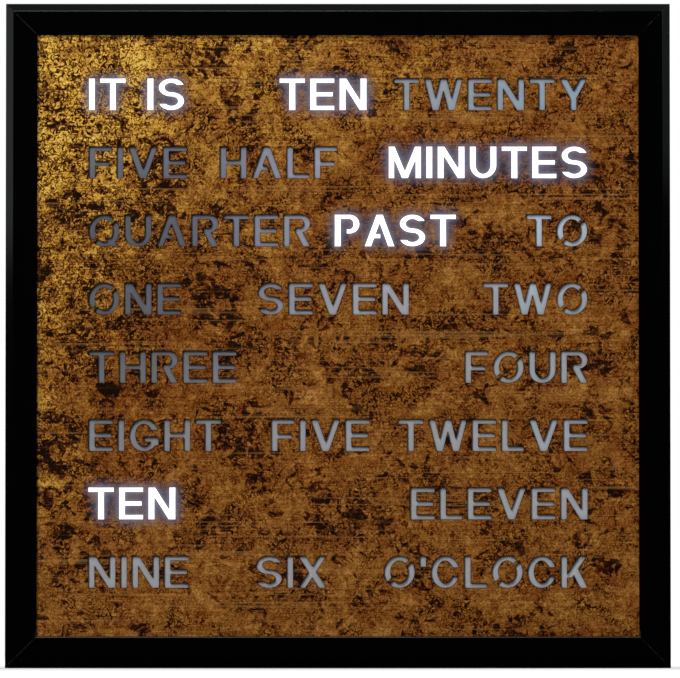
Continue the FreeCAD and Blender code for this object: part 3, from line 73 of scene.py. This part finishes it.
class Shader:
    """A material whose nodes are chained by short calls. Lengths in its textures are in millimetres."""

    def __init__(self, name):
        self.material = bpy.data.materials.new(name)
        self.material.use_nodes = True
        self.tree = self.material.node_tree
        self.surface = self.tree.nodes["Principled BSDF"]
        place = self.tree.nodes.new("ShaderNodeTexCoord")
        scale = self.tree.nodes.new("ShaderNodeMapping")
        scale.inputs["Scale"].default_value = (1 / MM, 1 / MM, 1 / MM)
        self.link(place.outputs["Object"], scale.inputs["Vector"])
        self.place = scale.outputs["Vector"]

    def link(self, source, target):
        self.tree.links.new(source, target)

    def feed(self, target, value):
        """Sets a socket to a number or colour, or links it to another socket."""
        if isinstance(value, bpy.types.NodeSocket):
            self.link(value, target)
        elif isinstance(value, tuple) and len(value) == 3 and target.type == "RGBA":
            target.default_value = (*value, 1.0)
        else:
            target.default_value = value

    def set(self, **values):
        """Sets the surface's own sockets: base_color="Base Color" and so on."""
        for key, value in values.items():
            name = key.replace("_", " ").title().replace("Ior", "IOR")
            self.feed(self.surface.inputs[name], value)

    def stretched(self, x, y, z, turn=0.0, shift=0.0):
        """The place, scaled along each axis: a small number draws the texture out along it."""
        mapping = self.tree.nodes.new("ShaderNodeMapping")
        mapping.inputs["Location"].default_value = (shift, 0.0, shift)
        mapping.inputs["Scale"].default_value = (x, y, z)
        mapping.inputs["Rotation"].default_value = (0.0, turn, 0.0)
        self.link(self.place, mapping.inputs["Vector"])
        return mapping.outputs["Vector"]

    def noise(self, size, detail=4.0, roughness=0.5, distortion=0.0, vector=None, shift=0.0):
        """Cloudy noise whose largest features are about size millimetres across, from 0 to 1."""
        if shift:
            vector = self.stretched(1.0, 1.0, 1.0, shift=shift)
        node = self.tree.nodes.new("ShaderNodeTexNoise")
        node.inputs["Scale"].default_value = 1.0 / size
        node.inputs["Detail"].default_value = detail
        node.inputs["Roughness"].default_value = roughness
        node.inputs["Distortion"].default_value = distortion
        self.link(vector or self.place, node.inputs["Vector"])
        return node.outputs["Fac"]

    def cells(self, size):
        """The distance to the nearest of the points that lie about size millimetres apart."""
        node = self.tree.nodes.new("ShaderNodeTexVoronoi")
        node.inputs["Scale"].default_value = 1.0 / size
        self.link(self.place, node.inputs["Vector"])
        return node.outputs["Distance"]

    def axis(self, letter):
        """One coordinate of the place, in millimetres."""
        node = self.tree.nodes.new("ShaderNodeSeparateXYZ")
        self.link(self.place, node.inputs["Vector"])
        return node.outputs[letter]

    def math(self, operation, first, second=0.0, clamp=False):
        node = self.tree.nodes.new("ShaderNodeMath")
        node.operation = operation
        node.use_clamp = clamp
        self.feed(node.inputs[0], first)
        self.feed(node.inputs[1], second)
        return node.outputs[0]

    def total(self, *values):
        result = values[0]
        for value in values[1:]:
            result = self.math("ADD", result, value)
        return result

    def product(self, *values):
        result = values[0]
        for value in values[1:]:
            result = self.math("MULTIPLY", result, value)
        return result

    def distance(self, first, second):
        return self.math("ABSOLUTE", self.math("SUBTRACT", first, second))

    def span(self, value, low, high, to_low=0.0, to_high=1.0, smooth=False):
        """value, mapped from low..high to to_low..to_high and held there beyond it."""
        node = self.tree.nodes.new("ShaderNodeMapRange")
        node.interpolation_type = "SMOOTHSTEP" if smooth else "LINEAR"
        self.feed(node.inputs["Value"], value)
        node.inputs["From Min"].default_value = low
        node.inputs["From Max"].default_value = high
        node.inputs["To Min"].default_value = to_low
        node.inputs["To Max"].default_value = to_high
        return node.outputs["Result"]

    def ramp(self, value, *stops):
        """A colour ramp: each stop is (position, colour)."""
        node = self.tree.nodes.new("ShaderNodeValToRGB")
        elements = node.color_ramp.elements
        while len(elements) < len(stops):
            elements.new(0.5)
        for element, (position, colour) in zip(elements, stops):
            element.position = position
            element.color = (*colour, 1.0)
        self.feed(node.inputs["Fac"], value)
        return node.outputs["Color"]

    def mix(self, factor, first, second, blend="MIX"):
        node = self.tree.nodes.new("ShaderNodeMix")
        node.data_type = "RGBA"
        node.blend_type = blend
        self.feed(node.inputs[0], factor)
        self.feed(node.inputs[6], first)
        self.feed(node.inputs[7], second)
        return node.outputs[2]

    def pool(self, x, z, radius):
        """1 at the point (x, z) of the face, fading to 0 at that radius from it."""
        beside = self.math("SUBTRACT", self.axis("X"), x)
        above = self.math("SUBTRACT", self.axis("Z"), z)
        return self.span(self.length(beside, above), 0.0, radius, 1.0, 0.0, smooth=True)

    def length(self, first, second):
        """The length of the line whose two sides are given."""
        square = self.math("ADD", self.math("POWER", first, 2.0), self.math("POWER", second, 2.0))
        return self.math("SQRT", square)

    def bump(self, height, depth):
        """Roughens the surface: depth is the height of the bumps in millimetres."""
        node = self.tree.nodes.new("ShaderNodeBump")
        node.inputs["Strength"].default_value = 1.0
        node.inputs["Distance"].default_value = depth * MM
        self.link(height, node.inputs["Height"])
        earlier = self.surface.inputs["Normal"]
        if earlier.is_linked:
            self.link(earlier.links[0].from_socket, node.inputs["Normal"])
        self.link(node.outputs["Normal"], earlier)

    def openness(self, reach, inside=False, lean=(0.0, 0.0, 0.0)):
        """1 on open ground, less within reach millimetres of a wall.

        inside looks from within the piece itself. A wall that stands on the side of lean counts for more.
        """
        facing = self.tree.nodes.new("ShaderNodeNewGeometry")
        leaned = self.tree.nodes.new("ShaderNodeVectorMath")
        leaned.inputs[1].default_value = lean
        self.link(facing.outputs["Normal"], leaned.inputs[0])
        unit = self.tree.nodes.new("ShaderNodeVectorMath")
        unit.operation = "NORMALIZE"
        self.link(leaned.outputs["Vector"], unit.inputs[0])
        node = self.tree.nodes.new("ShaderNodeAmbientOcclusion")
        node.samples = 8
        node.inside = inside
        node.only_local = inside
        node.inputs["Distance"].default_value = reach * MM
        self.link(unit.outputs["Vector"], node.inputs["Normal"])
        return node.outputs["AO"]

    def soften_edges(self, radius):
        """Rounds the shading of sharp edges, as a mould or a deburring tool leaves them."""
        node = self.tree.nodes.new("ShaderNodeBevel")
        node.samples = 4
        node.inputs["Radius"].default_value = radius * MM
        self.link(node.outputs["Normal"], self.surface.inputs["Normal"])


def srgb(red, green, blue):
    """Turns a colour given as 0 to 255 on a screen into linear light."""
    def linear(value):
        value /= 255
        return value / 12.92 if value <= 0.04045 else ((value + 0.055) / 1.055) ** 2.4
    return (linear(red), linear(green), linear(blue))


# Finishes

# Millimetres: where the lip ends, out from the middle, and the height below which it is the lower rail's.

LIP_EDGE = 136.1
LOWER_LIP_Z = -228.0


def frame_finish():
    """Gloss black coat with a faint orange peel, matt lips and the fine joints of the mitres, drawn as
    broken lighter lines: a painted highlight.
    """
    coat = Shader("gloss_black_coat")
    across = coat.distance(coat.axis("X"), MIDDLE_X / MM)
    along = coat.distance(coat.axis("Z"), MIDDLE_Z / MM)
    # Painted highlight: the mitre joints are drawn as broken lines lighter than the black coat.
    mitre_highlight = coat.span(coat.distance(across, along), 0.10, 0.28, 1.0, 0.0)
    highlight_breaks = coat.span(coat.noise(2.4, 4, 0.6), 0.42, 0.62)
    shown = coat.math("MULTIPLY", mitre_highlight, highlight_breaks)
    lip = coat.span(coat.math("MAXIMUM", across, along), LIP_EDGE, LIP_EDGE + 0.4, 1.0, 0.0)
    low_down = coat.span(coat.axis("Z"), LOWER_LIP_Z - 1.0, LOWER_LIP_Z + 1.0, 1.0, 0.0)
    lower_lip = coat.math("MULTIPLY", lip, low_down)
    matt_lip = coat.math("SUBTRACT", lip, lower_lip)
    dust = coat.span(coat.noise(0.5, 6, 0.7), 0.66, 0.75)
    black = coat.mix(dust, (0.0005, 0.0005, 0.0006), (0.003, 0.003, 0.003))
    gloss = coat.span(coat.noise(9.0, 5, 0.6), 0.3, 0.7, 0.09, 0.13)
    coat.set(
        base_color=coat.mix(shown, black, (0.03, 0.03, 0.031)),
        roughness=coat.math("ADD", gloss, coat.math("MULTIPLY", lower_lip, 0.5)),
        specular_ior_level=coat.span(matt_lip, 0.0, 1.0, 0.5, 0.0),
    )
    coat.bump(coat.noise(1.6, 3, 0.5), 0.004)
    return coat.material


# Millimetres: the reach of the plate's visible face and of the block of words on it.

FACE_X = (-135.0, 135.0)
FACE_Z = (-230.0, 40.0)
WORDS_X = (-115.0, 115.0)
WORDS_Z = (-210.0, 20.0)

# Round places of the face that are darker or lighter than the rest: x, z and radius in millimetres. The
# last three lie on the letters and are painted shade and painted light on the sheet.

DARKER_PLATE_SPOT = (-105.0, -85.0, 95.0)
DIM_LETTERS_PAINTED_SHADE = (-100.0, -72.0, 120.0)
BRIGHT_LETTERS_PAINTED_LIGHT = (95.0, -48.0, 50.0)
PALE_LETTERS_PAINTED_LIGHT = (10.0, -50.0, 90.0)


def plate_finish():
    """Brushed metal under a patina of gold, ochre and burnt brown, gold towards the upper left: the
    patina's own gold with a painted highlight of the key light, and painted shade along the cut edges.
    """
    metal = Shader("patina_metal")
    across = metal.span(metal.axis("X"), *FACE_X)
    rise = metal.span(metal.axis("Z"), *FACE_Z)
    wander = metal.noise(45.0, 3, 0.6)
    # Gold towards the upper left: the patina's own gold, lightened as a painted highlight of the key light
    # that comes from there.
    from_left = metal.math("MULTIPLY", metal.math("SUBTRACT", 1.05, across), metal.math("POWER", rise, 1.3))
    from_left = metal.math("ADD", from_left, metal.span(across, 0.0, 0.25, 0.28, 0.0))
    gilt_and_highlight = metal.span(metal.math("ADD", from_left, metal.span(wander, 0.3, 0.7, -0.2, 0.2)), 0.35, 1.0)

    brush = metal.noise(1.0, 3, 0.6, vector=metal.stretched(0.06, 0.3, 1.9))
    scratches = metal.noise(1.0, 2, 0.5, vector=metal.stretched(0.012, 0.3, 1.1))
    clouds = metal.noise(16.0, 4, 0.6, 0.6)
    mottle = metal.noise(3.2, 3, 0.6, 0.8)
    gather = metal.noise(22.0, 2, 0.5, 0.5, shift=300.0)
    islands = metal.noise(12.0, 3, 0.55, 0.8, shift=500.0)
    blotches = metal.noise(5.5, 5, 0.62, 0.9, vector=metal.stretched(0.9, 1.0, 1.1, shift=40.0))
    ridges = metal.noise(9.0, 4, 0.6, 0.6, shift=60.0)
    curls = metal.noise(2.4, 1, 0.5, 1.0, shift=90.0)
    grain = metal.noise(0.8, 1, 0.5)

    blotch = metal.math("ADD", blotches, metal.span(gather, 0.35, 0.65, -0.09, 0.09))
    blotch = metal.span(blotch, 0.575, 0.64)
    crack = metal.product(
        metal.span(metal.distance(ridges, 0.5), 0.0, 0.02, 1.0, 0.0),
        metal.span(mottle, 0.45, 0.58),
        metal.span(gather, 0.4, 0.6, 0.3, 1.0),
    )
    curl = metal.distance(curls, 0.5)
    curl_line = metal.span(curl, 0.0, 0.07, 1.0, 0.0)
    curl_rim = metal.span(metal.distance(curl, 0.14), 0.0, 0.06, 1.0, 0.0)
    curly = metal.math("MAXIMUM", metal.span(gilt_and_highlight, 0.2, 1.0, 0.0, 0.9), metal.span(clouds, 0.47, 0.60))
    curly = metal.math("MULTIPLY", curly, metal.span(islands, 0.40, 0.52, 0.3, 1.0))
    curly = metal.span(curly, 0.0, 1.0, 0.30, 1.0)

    tone = metal.total(
        metal.span(clouds, 0.3, 0.7, 0.70, 0.36),
        # Painted light: the lowest part of the face is lightened a little.
        metal.span(rise, 0.0, 0.3, 0.04, 0.0),
        metal.span(mottle, 0.3, 0.7, -0.15, 0.15),
        metal.span(brush, 0.3, 0.7, -0.09, 0.09),
        metal.span(grain, 0.3, 0.7, -0.10, 0.10),
        metal.product(curl_line, curly, -0.58),
        metal.product(curl_rim, curly, 0.24),
        metal.product(blotch, -0.38),
        metal.product(crack, -0.36),
        # The face is made darker in a round place at the left middle.
        metal.product(metal.pool(*DARKER_PLATE_SPOT), -0.10),
    )

    burnt = metal.ramp(
        tone,
        (0.12, srgb(20, 8, 2)),
        (0.28, srgb(70, 28, 5)),
        (0.42, srgb(114, 62, 20)),
        (0.52, srgb(142, 88, 34)),
        (0.66, srgb(170, 114, 50)),
        (0.88, srgb(216, 156, 82)),
    )
    gold = metal.ramp(
        tone,
        (0.12, srgb(22, 8, 2)),
        (0.28, srgb(70, 32, 6)),
        (0.42, srgb(130, 82, 32)),
        (0.52, srgb(184, 132, 50)),
        (0.66, srgb(242, 188, 68)),
        (0.88, srgb(255, 226, 122)),
    )
    colour = metal.mix(gilt_and_highlight, burnt, gold)
    redness = metal.span(metal.noise(11.0, 4, 0.6, 0.8, shift=200.0), 0.50, 0.66, 0.0, 0.5)
    redness = metal.math("MULTIPLY", redness, metal.span(gilt_and_highlight, 0.2, 0.9, 1.0, 0.3))
    colour = metal.mix(redness, colour, metal.mix(1.0, colour, srgb(222, 174, 158), "MULTIPLY"))
    colour = metal.mix(metal.span(scratches, 0.60, 0.70, 0.0, 0.2), colour, srgb(206, 152, 84))

    # Painted shade: the face is darkened along the cut edges of the letters, and made duller there.
    edge_shade = metal.span(metal.openness(0.7, inside=True), 0.95, 0.6)
    colour = metal.mix(metal.math("MULTIPLY", edge_shade, 0.85), colour, srgb(22, 14, 10))

    dirt_and_edge_shade = metal.math("MAXIMUM", metal.span(tone, 0.30, 0.50, 1.0, 0.0), edge_shade)
    metal.set(
        base_color=colour,
        metallic=metal.span(dirt_and_edge_shade, 0.0, 1.0, 0.5, 0.0),
        roughness=metal.total(
            metal.span(dirt_and_edge_shade, 0.0, 1.0, 0.38, 0.62),
            metal.span(brush, 0.3, 0.7, -0.06, 0.06),
        ),
        specular_ior_level=0.03,
        anisotropic=0.4,
        anisotropic_rotation=0.25,
    )
    metal.bump(brush, 0.015)
    metal.bump(tone, 0.02)
    return metal.material


# Millimetres: an LED package, and how far a cell reaches past the middle of its last LED, and up and down.

LED_WIDTH = 3.5
CELL_REACH_X = 3.0
CELL_REACH_Z = 11.0

# The LED groups of the lit words, with the number of LEDs in each. Then the painted glow of the sheet over
# them, and the light of the LEDs themselves.

LIT_WORDS = {"leds_it_is": 4, "leds_ten_past": 3, "leds_minutes": 7, "leds_past": 4, "leds_hour_ten": 3}
LIT_COLOUR = (0.92, 0.92, 1.0)
LIT_STRENGTH = 1.5
LED_COLOUR = (0.95, 0.95, 1.0)
LED_STRENGTH = 3.0


def lit_cells():
    """Middle and half size of each lit cell in millimetres, from the LEDs that stand in it."""
    cells = []
    for name, count in LIT_WORDS.items():
        low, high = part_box(name)
        led_span = (high.x - low.x) / MM - LED_WIDTH
        half_width = led_span * count / (count - 1) / 2 + CELL_REACH_X
        cells.append(((low.x + high.x) / 2 / MM, (low.z + high.z) / 2 / MM, half_width, CELL_REACH_Z))
    return cells


# Up and to the left along the face, where the key light comes from: the painted shadow of the cut edges
# leans this way.

TOWARDS_KEY = (-0.6, 0.0, 0.8)


def diffuser_finish():
    """Opal acrylic: blue-grey where it is dark behind, and a painted white glow where the cell behind it is
    lit.
    """
    opal = Shader("opal_acrylic")
    x = opal.axis("X")
    z = opal.axis("Z")
    lit = None
    for middle_x, middle_z, half_x, half_z in lit_cells():
        cell = opal.product(
            opal.span(opal.distance(x, middle_x), half_x - 1.0, half_x + 1.0, 1.0, 0.0),
            opal.span(opal.distance(z, middle_z), half_z - 1.0, half_z + 1.0, 1.0, 0.0),
        )
        lit = cell if lit is None else opal.math("ADD", lit, cell, clamp=True)
    across = opal.span(x, *WORDS_X)
    rise = opal.span(z, *WORDS_Z)
    drift = opal.noise(70.0, 2, 0.5)
    # The sheet's own pale grey-blue, made bluer and brighter to the right: painted light leak and
    # reflection.
    bluish_leak = opal.ramp(
        opal.total(opal.product(across, 0.75), opal.span(drift, 0.3, 0.7, -0.05, 0.3)),
        (0.0, srgb(150, 158, 174)),
        (0.35, srgb(160, 162, 184)),
        (0.7, srgb(180, 186, 198)),
        (1.0, srgb(180, 204, 226)),
    )
    height = opal.total(rise, opal.span(drift, 0.3, 0.7, -0.25, 0.25))
    greyish = opal.span(height, 0.35, 0.75, 0.75, 0.0)
    tint = opal.mix(greyish, bluish_leak, srgb(178, 178, 180))
    # Painted shade and light across the sheet: darker towards the top and in the left middle, lighter in
    # two places to the right and in the middle.
    painted_shade = opal.total(
        opal.product(
            opal.span(rise, 0.0, 1.0, 0.86, 0.58),
            opal.span(opal.noise(3.0, 5, 0.6), 0.3, 0.7, 0.93, 1.0),
            opal.span(opal.pool(*DIM_LETTERS_PAINTED_SHADE), 0.0, 0.8, 1.0, 0.42),
        ),
        opal.product(opal.pool(*BRIGHT_LETTERS_PAINTED_LIGHT), 0.3),
        opal.product(opal.pool(*PALE_LETTERS_PAINTED_LIGHT), 0.2),
    )
    # Painted shadow: the sheet is darkened beside the plate's cut edges, most on the side towards the key
    # light.
    painted_shadow = opal.span(opal.openness(1.1, lean=TOWARDS_KEY), 0.42, 0.74, 0.04, 1.0)
    painted_shade = opal.product(painted_shade, painted_shadow)
    # The lit cells glow as emission painted on the sheet, standing in for the LED light shining through it.
    opal.set(
        base_color=opal.mix(1.0, tint, opal.ramp(painted_shade, (0.0, (0, 0, 0)), (1.0, (1, 1, 1))), "MULTIPLY"),
        roughness=0.42,
        emission_color=LIT_COLOUR,
        emission_strength=opal.math("MULTIPLY", lit, LIT_STRENGTH),
    )
    return opal.material


def plastic(name, colour, roughness, grain=0.6, depth=0.02, edge=0.15):
    """Moulded plastic: a fine sparked texture, slightly uneven gloss and softened edges."""
    shell = Shader(name)
    shell.soften_edges(edge)
    fine = shell.noise(grain, 4, 0.6)
    broad = shell.noise(18.0, 4, 0.55)
    lighter = tuple(min(1.0, value * 1.35 + 0.002) for value in colour)
    scratches = shell.noise(1.0, 3, 0.6, vector=shell.stretched(0.08, 0.08, 1.3, 0.6))
    scuffs = shell.span(scratches, 0.66, 0.8, 0.0, 0.5)
    tint = shell.mix(shell.span(broad, 0.3, 0.7, 0.0, 0.6), colour, lighter)
    shell.set(
        base_color=shell.mix(scuffs, tint, lighter),
        roughness=shell.math("ADD", shell.span(fine, 0.3, 0.7, -0.07, 0.07), roughness),
    )
    shell.bump(fine, depth)
    return shell.material


def metal(name, colour, roughness, lines=(1.0, 1.0, 1.0), tarnish=0.25):
    """Plated or bare metal with fine tool marks and a little uneven tarnish."""
    plated = Shader(name)
    plated.soften_edges(0.08)
    marks = plated.noise(0.22, 3, 0.5, vector=plated.stretched(*lines))
    broad = plated.noise(3.0, 5, 0.6)
    dull = tuple(value * 0.72 for value in colour)
    plated.set(
        base_color=plated.mix(plated.span(broad, 0.4, 0.7, 0.0, tarnish), colour, dull),
        metallic=1.0,
        roughness=plated.math("ADD", plated.span(marks, 0.25, 0.75, -0.08, 0.1), roughness),
    )
    plated.bump(marks, 0.006)
    return plated.material


def board_finish():
    """Green solder mask over copper tracks, the joints of a brick pattern, with bare pads at the vias."""
    board = Shader("solder_mask")
    board.soften_edges(0.05)
    tracks = board.tree.nodes.new("ShaderNodeTexBrick")
    sizes = {"Scale": 0.22, "Mortar Size": 0.05, "Brick Width": 1.9, "Row Height": 0.42}
    for name, value in sizes.items():
        tracks.inputs[name].default_value = value
    flat = board.tree.nodes.new("ShaderNodeMapping")
    flat.inputs["Rotation"].default_value = (math.pi / 2, 0.0, 0.0)
    board.link(board.place, flat.inputs["Vector"])
    board.link(flat.outputs["Vector"], tracks.inputs["Vector"])
    copper_below = board.math("SUBTRACT", 1.0, tracks.outputs["Fac"])
    vias = board.span(board.cells(4.6), 0.05, 0.08, 1.0, 0.0)
    mask = board.mix(copper_below, (0.012, 0.085, 0.03), (0.02, 0.14, 0.05))
    board.set(
        base_color=board.mix(vias, mask, (0.62, 0.52, 0.3)),
        metallic=vias,
        roughness=board.span(board.noise(5.0, 4, 0.5), 0.3, 0.7, 0.25, 0.38),
        coat_weight=0.4,
    )
    board.bump(copper_below, 0.03)
    return board.material


def led_finish(name, lit):
    """White LED package, mottled with its yellow phosphor. A lit one gives light."""
    package = Shader(name)
    package.soften_edges(0.1)
    grain = package.noise(0.4, 3, 0.5)
    package.set(
        base_color=package.mix(package.span(grain, 0.3, 0.7), srgb(236, 232, 214), srgb(214, 204, 150)),
        roughness=0.35,
        subsurface_weight=0.1,
    )
    if lit:
        package.set(emission_color=LED_COLOUR, emission_strength=LED_STRENGTH)
    return package.material


def rubber_finish():
    """Matt black rubber, finely grained and slightly dusty."""
    rubber = Shader("matt_rubber")
    rubber.soften_edges(0.3)
    grain = rubber.noise(0.35, 5, 0.65)
    dust = rubber.span(rubber.noise(4.0, 6, 0.7), 0.5, 0.75, 0.0, 0.5)
    rubber.set(
        base_color=rubber.mix(dust, (0.018, 0.018, 0.018), (0.06, 0.058, 0.055)),
        roughness=rubber.span(grain, 0.3, 0.7, 0.72, 0.9),
        specular_ior_level=0.3,
    )
    rubber.bump(grain, 0.03)
    return rubber.material


def make_finishes():
    return {
        "frame": frame_finish(),
        "plate": plate_finish(),
        "diffuser": diffuser_finish(),
        "grid": plastic("white_tray", (0.74, 0.74, 0.72), 0.5),
        "board": board_finish(),
        "led_lit": led_finish("led_on", True),
        "led": led_finish("led_off", False),
        "bracket": metal("zinc_plate", (0.56, 0.57, 0.6), 0.36, (0.3, 1.0, 1.0), 0.4),
        "screw": metal("nickel_plate", (0.58, 0.56, 0.53), 0.22, tarnish=0.5),
        "cover": plastic("black_cover", (0.026, 0.026, 0.027), 0.42, 0.9, 0.06, 0.2),
        "button": plastic("grey_button", (0.11, 0.11, 0.12), 0.42, 0.4, 0.012, 0.25),
        "rubber": rubber_finish(),
        "chip": plastic("chip_epoxy", (0.014, 0.014, 0.015), 0.55, 0.3, 0.015, 0.06),
        "steel": metal("bright_steel", (0.68, 0.67, 0.65), 0.24, (0.15, 1.0, 1.0), 0.15),
        "connector": plastic("black_nylon", (0.02, 0.02, 0.021), 0.46, 0.35, 0.012, 0.08),
    }


def slot_of(obj):
    """The record's slot that a CAD node was packed with, from the name of its packed material."""
    for material in obj.data.materials:
        if material:
            return material.name.split(".")[0]
    return None


def dress(finishes):
    """Gives each CAD node the finish of its slot."""
    for obj in nodes.values():
        finish = finishes[slot_of(obj)]
        for slot in obj.material_slots:
            slot.material = finish


# Studio

def area_light(name, size, energy, place, aim, colour=(1.0, 1.0, 1.0)):
    """A rectangle of light of that size in metres and energy in watts, at place and facing aim."""
    data = bpy.data.lights.new(name, "AREA")
    data.shape = "RECTANGLE"
    data.size = size[0]
    data.size_y = size[1]
    data.energy = energy
    data.color = colour
    light = bpy.data.objects.new(name, data)
    bpy.context.scene.collection.objects.link(light)
    light.location = place
    direction = Vector(place) - Vector(aim)
    light.rotation_euler = direction.to_track_quat("Z", "Y").to_euler()


def make_lights():
    middle = (MIDDLE_X, 0.0, MIDDLE_Z)
    area_light("key", (0.5, 0.5), 37.0, (-0.95, -1.75, 1.35), middle, (1.0, 0.98, 0.95))
    area_light("fill", (1.2, 1.0), 5.0, (1.9, -1.5, 0.7), middle, (0.95, 0.98, 1.0))
    area_light("rim", (0.5, 0.3), 7.0, (-0.12, -0.9, 1.3), middle, (0.95, 1.0, 1.0))
    area_light("left_edge", (0.4, 0.6), 0.38, (-1.2, -0.2, 0.29), middle, (0.92, 1.0, 0.97))
    area_light("right_edge", (0.4, 0.4), 0.10, (1.2, -0.2, 0.24), middle, (0.85, 1.0, 1.0))
    area_light("top_edge", (0.7, 0.3), 0.12, (0.0, -0.2, 1.0), middle, (0.85, 1.0, 1.0))
    area_light("back_left", (0.8, 0.6), 75.0, (1.3, 1.7, 2.1), middle)
    area_light("back_right", (0.8, 0.8), 34.0, (-1.5, 1.3, 2.0), middle)


# How strongly the room shines on the clock: its front and back, and a factor for low down and high up.

ROOM_FRONT = 0.004
ROOM_BACK = 0.42
ROOM_LOW = 0.5
ROOM_HIGH = 1.5


def make_world():
    """White for the camera. Everything else sees a dim room, brighter behind the clock than before it."""
    world = bpy.data.worlds.new("studio")
    world.use_nodes = True
    bpy.context.scene.world = world
    tree = world.node_tree
    tree.nodes.clear()

    def made(kind, **values):
        node = tree.nodes.new(kind)
        for name, value in values.items():
            socket = node.inputs[name.replace("_", " ").title()]
            if isinstance(value, bpy.types.NodeSocket):
                tree.links.new(value, socket)
            else:
                socket.default_value = value
        return node

    direction = made("ShaderNodeTexCoord").outputs["Generated"]
    parts = made("ShaderNodeSeparateXYZ", vector=direction).outputs
    depth = made("ShaderNodeMapRange", value=parts["Y"], from_min=0.0, from_max=0.6,
                 to_min=ROOM_FRONT, to_max=ROOM_BACK)
    height = made("ShaderNodeMapRange", value=parts["Z"], from_min=-0.3, from_max=0.8,
                  to_min=ROOM_LOW, to_max=ROOM_HIGH)
    strength = tree.nodes.new("ShaderNodeMath")
    strength.operation = "MULTIPLY"
    tree.links.new(depth.outputs["Result"], strength.inputs[0])
    tree.links.new(height.outputs["Result"], strength.inputs[1])
    room = made("ShaderNodeBackground", strength=strength.outputs["Value"])
    white = made("ShaderNodeBackground", color=(1.0, 1.0, 1.0, 1.0))
    choose = made("ShaderNodeMixShader", fac=made("ShaderNodeLightPath").outputs["Is Camera Ray"])
    tree.links.new(room.outputs["Background"], choose.inputs[1])
    tree.links.new(white.outputs["Background"], choose.inputs[2])
    made("ShaderNodeOutputWorld", surface=choose.outputs["Shader"])


# Metres from the origin to the floor's sides, and millimetres to where its glow begins and ends its rise.
# Its dimmer glow near the clock is a painted shadow.

FLOOR_REACH = 6.0
FLOOR_RISE = (100.0, 1300.0)
FLOOR_GLOW_AND_SHADOW = (0.38, 0.98)


def make_floor():
    """A pale floor at the clock's foot, which glows more with its distance from the clock, up to white: the
    dimmer glow near the clock is a painted soft shadow.
    """
    mesh = bpy.data.meshes.new("floor")
    turns = ((-1, -1), (1, -1), (1, 1), (-1, 1))
    corners = [(x * FLOOR_REACH, y * FLOOR_REACH, FLOOR_Z) for x, y in turns]
    mesh.from_pydata(corners, [], [(0, 1, 2, 3)])
    floor = bpy.data.objects.new("floor", mesh)
    bpy.context.scene.collection.objects.link(floor)
    pale = Shader("pale_floor")
    away = pale.length(pale.axis("X"), pale.axis("Y"))
    # The glow rises away from the clock, so the floor near it is a painted soft shadow.
    pale.set(
        base_color=pale.mix(pale.noise(300.0, 4, 0.5), (0.18, 0.18, 0.18), (0.22, 0.22, 0.22)),
        roughness=0.7,
        emission_color=(1.0, 1.0, 1.0),
        emission_strength=pale.span(away, *FLOOR_RISE, *FLOOR_GLOW_AND_SHADOW),
    )
    mesh.materials.append(pale.material)
    floor.visible_glossy = False


# The scatter round the lit words: reaches are in pixels of the picture, colours are added or mixed light.

VEIL_REACH = 19
VEIL_COLOUR = (0.075, 0.085, 0.125)
GLOW_REACH = 8
GLOW_COLOUR = (0.20, 0.18, 0.22)


def make_glow():
    """Light from the lit words scatters in the lens: a grey veil round them and a bright rim close by.

    The lit words are found by their light alone, which is bluer than the floor's.
    """
    scene = bpy.context.scene
    bpy.context.view_layer.use_pass_emit = True
    scene.use_nodes = True
    tree = scene.node_tree
    tree.nodes.clear()
    layers = tree.nodes.new("CompositorNodeRLayers")
    output = tree.nodes.new("CompositorNodeComposite")

    def within(source, low, high, to_high=1.0):
        node = tree.nodes.new("CompositorNodeMapRange")
        node.inputs["From Min"].default_value = low
        node.inputs["From Max"].default_value = high
        node.inputs["To Max"].default_value = to_high
        node.use_clamp = True
        tree.links.new(source, node.inputs["Value"])
        return node.outputs["Value"]

    def blurred(source, reach):
        node = tree.nodes.new("CompositorNodeBlur")
        node.filter_type = "GAUSS"
        node.size_x = reach
        node.size_y = reach
        tree.links.new(source, node.inputs["Image"])
        return node.outputs["Image"]

    def blended(kind, factor, first, second):
        node = tree.nodes.new("CompositorNodeMixRGB")
        node.blend_type = kind
        for socket, value in zip(node.inputs, (factor, first, second)):
            if isinstance(value, bpy.types.NodeSocket):
                tree.links.new(value, socket)
            elif isinstance(value, tuple):
                socket.default_value = (*value, 1.0)
            else:
                socket.default_value = value
        return node.outputs["Image"]

    parts = tree.nodes.new("CompositorNodeSeparateColor")
    tree.links.new(layers.outputs["Emit"], parts.inputs["Image"])
    bluer = tree.nodes.new("CompositorNodeMath")
    bluer.operation = "SUBTRACT"
    tree.links.new(parts.outputs["Blue"], bluer.inputs[0])
    tree.links.new(parts.outputs["Red"], bluer.inputs[1])
    lit = within(bluer.outputs["Value"], 0.0, LIT_STRENGTH * (LIT_COLOUR[2] - LIT_COLOUR[0]))
    veil = within(blurred(lit, VEIL_REACH), 0.02, 0.34, 0.8)
    image = blended("MIX", veil, layers.outputs["Image"], VEIL_COLOUR)
    image = blended("MIX", lit, image, layers.outputs["Image"])
    glow = blended("MULTIPLY", 1.0, blurred(lit, GLOW_REACH), GLOW_COLOUR)
    image = blended("ADD", 1.0, image, glow)
    tree.links.new(image, output.inputs["Image"])


bpy.context.scene.view_settings.view_transform = "Standard"
make_camera()
dress(make_finishes())
make_lights()
make_world()
make_floor()
make_glow()
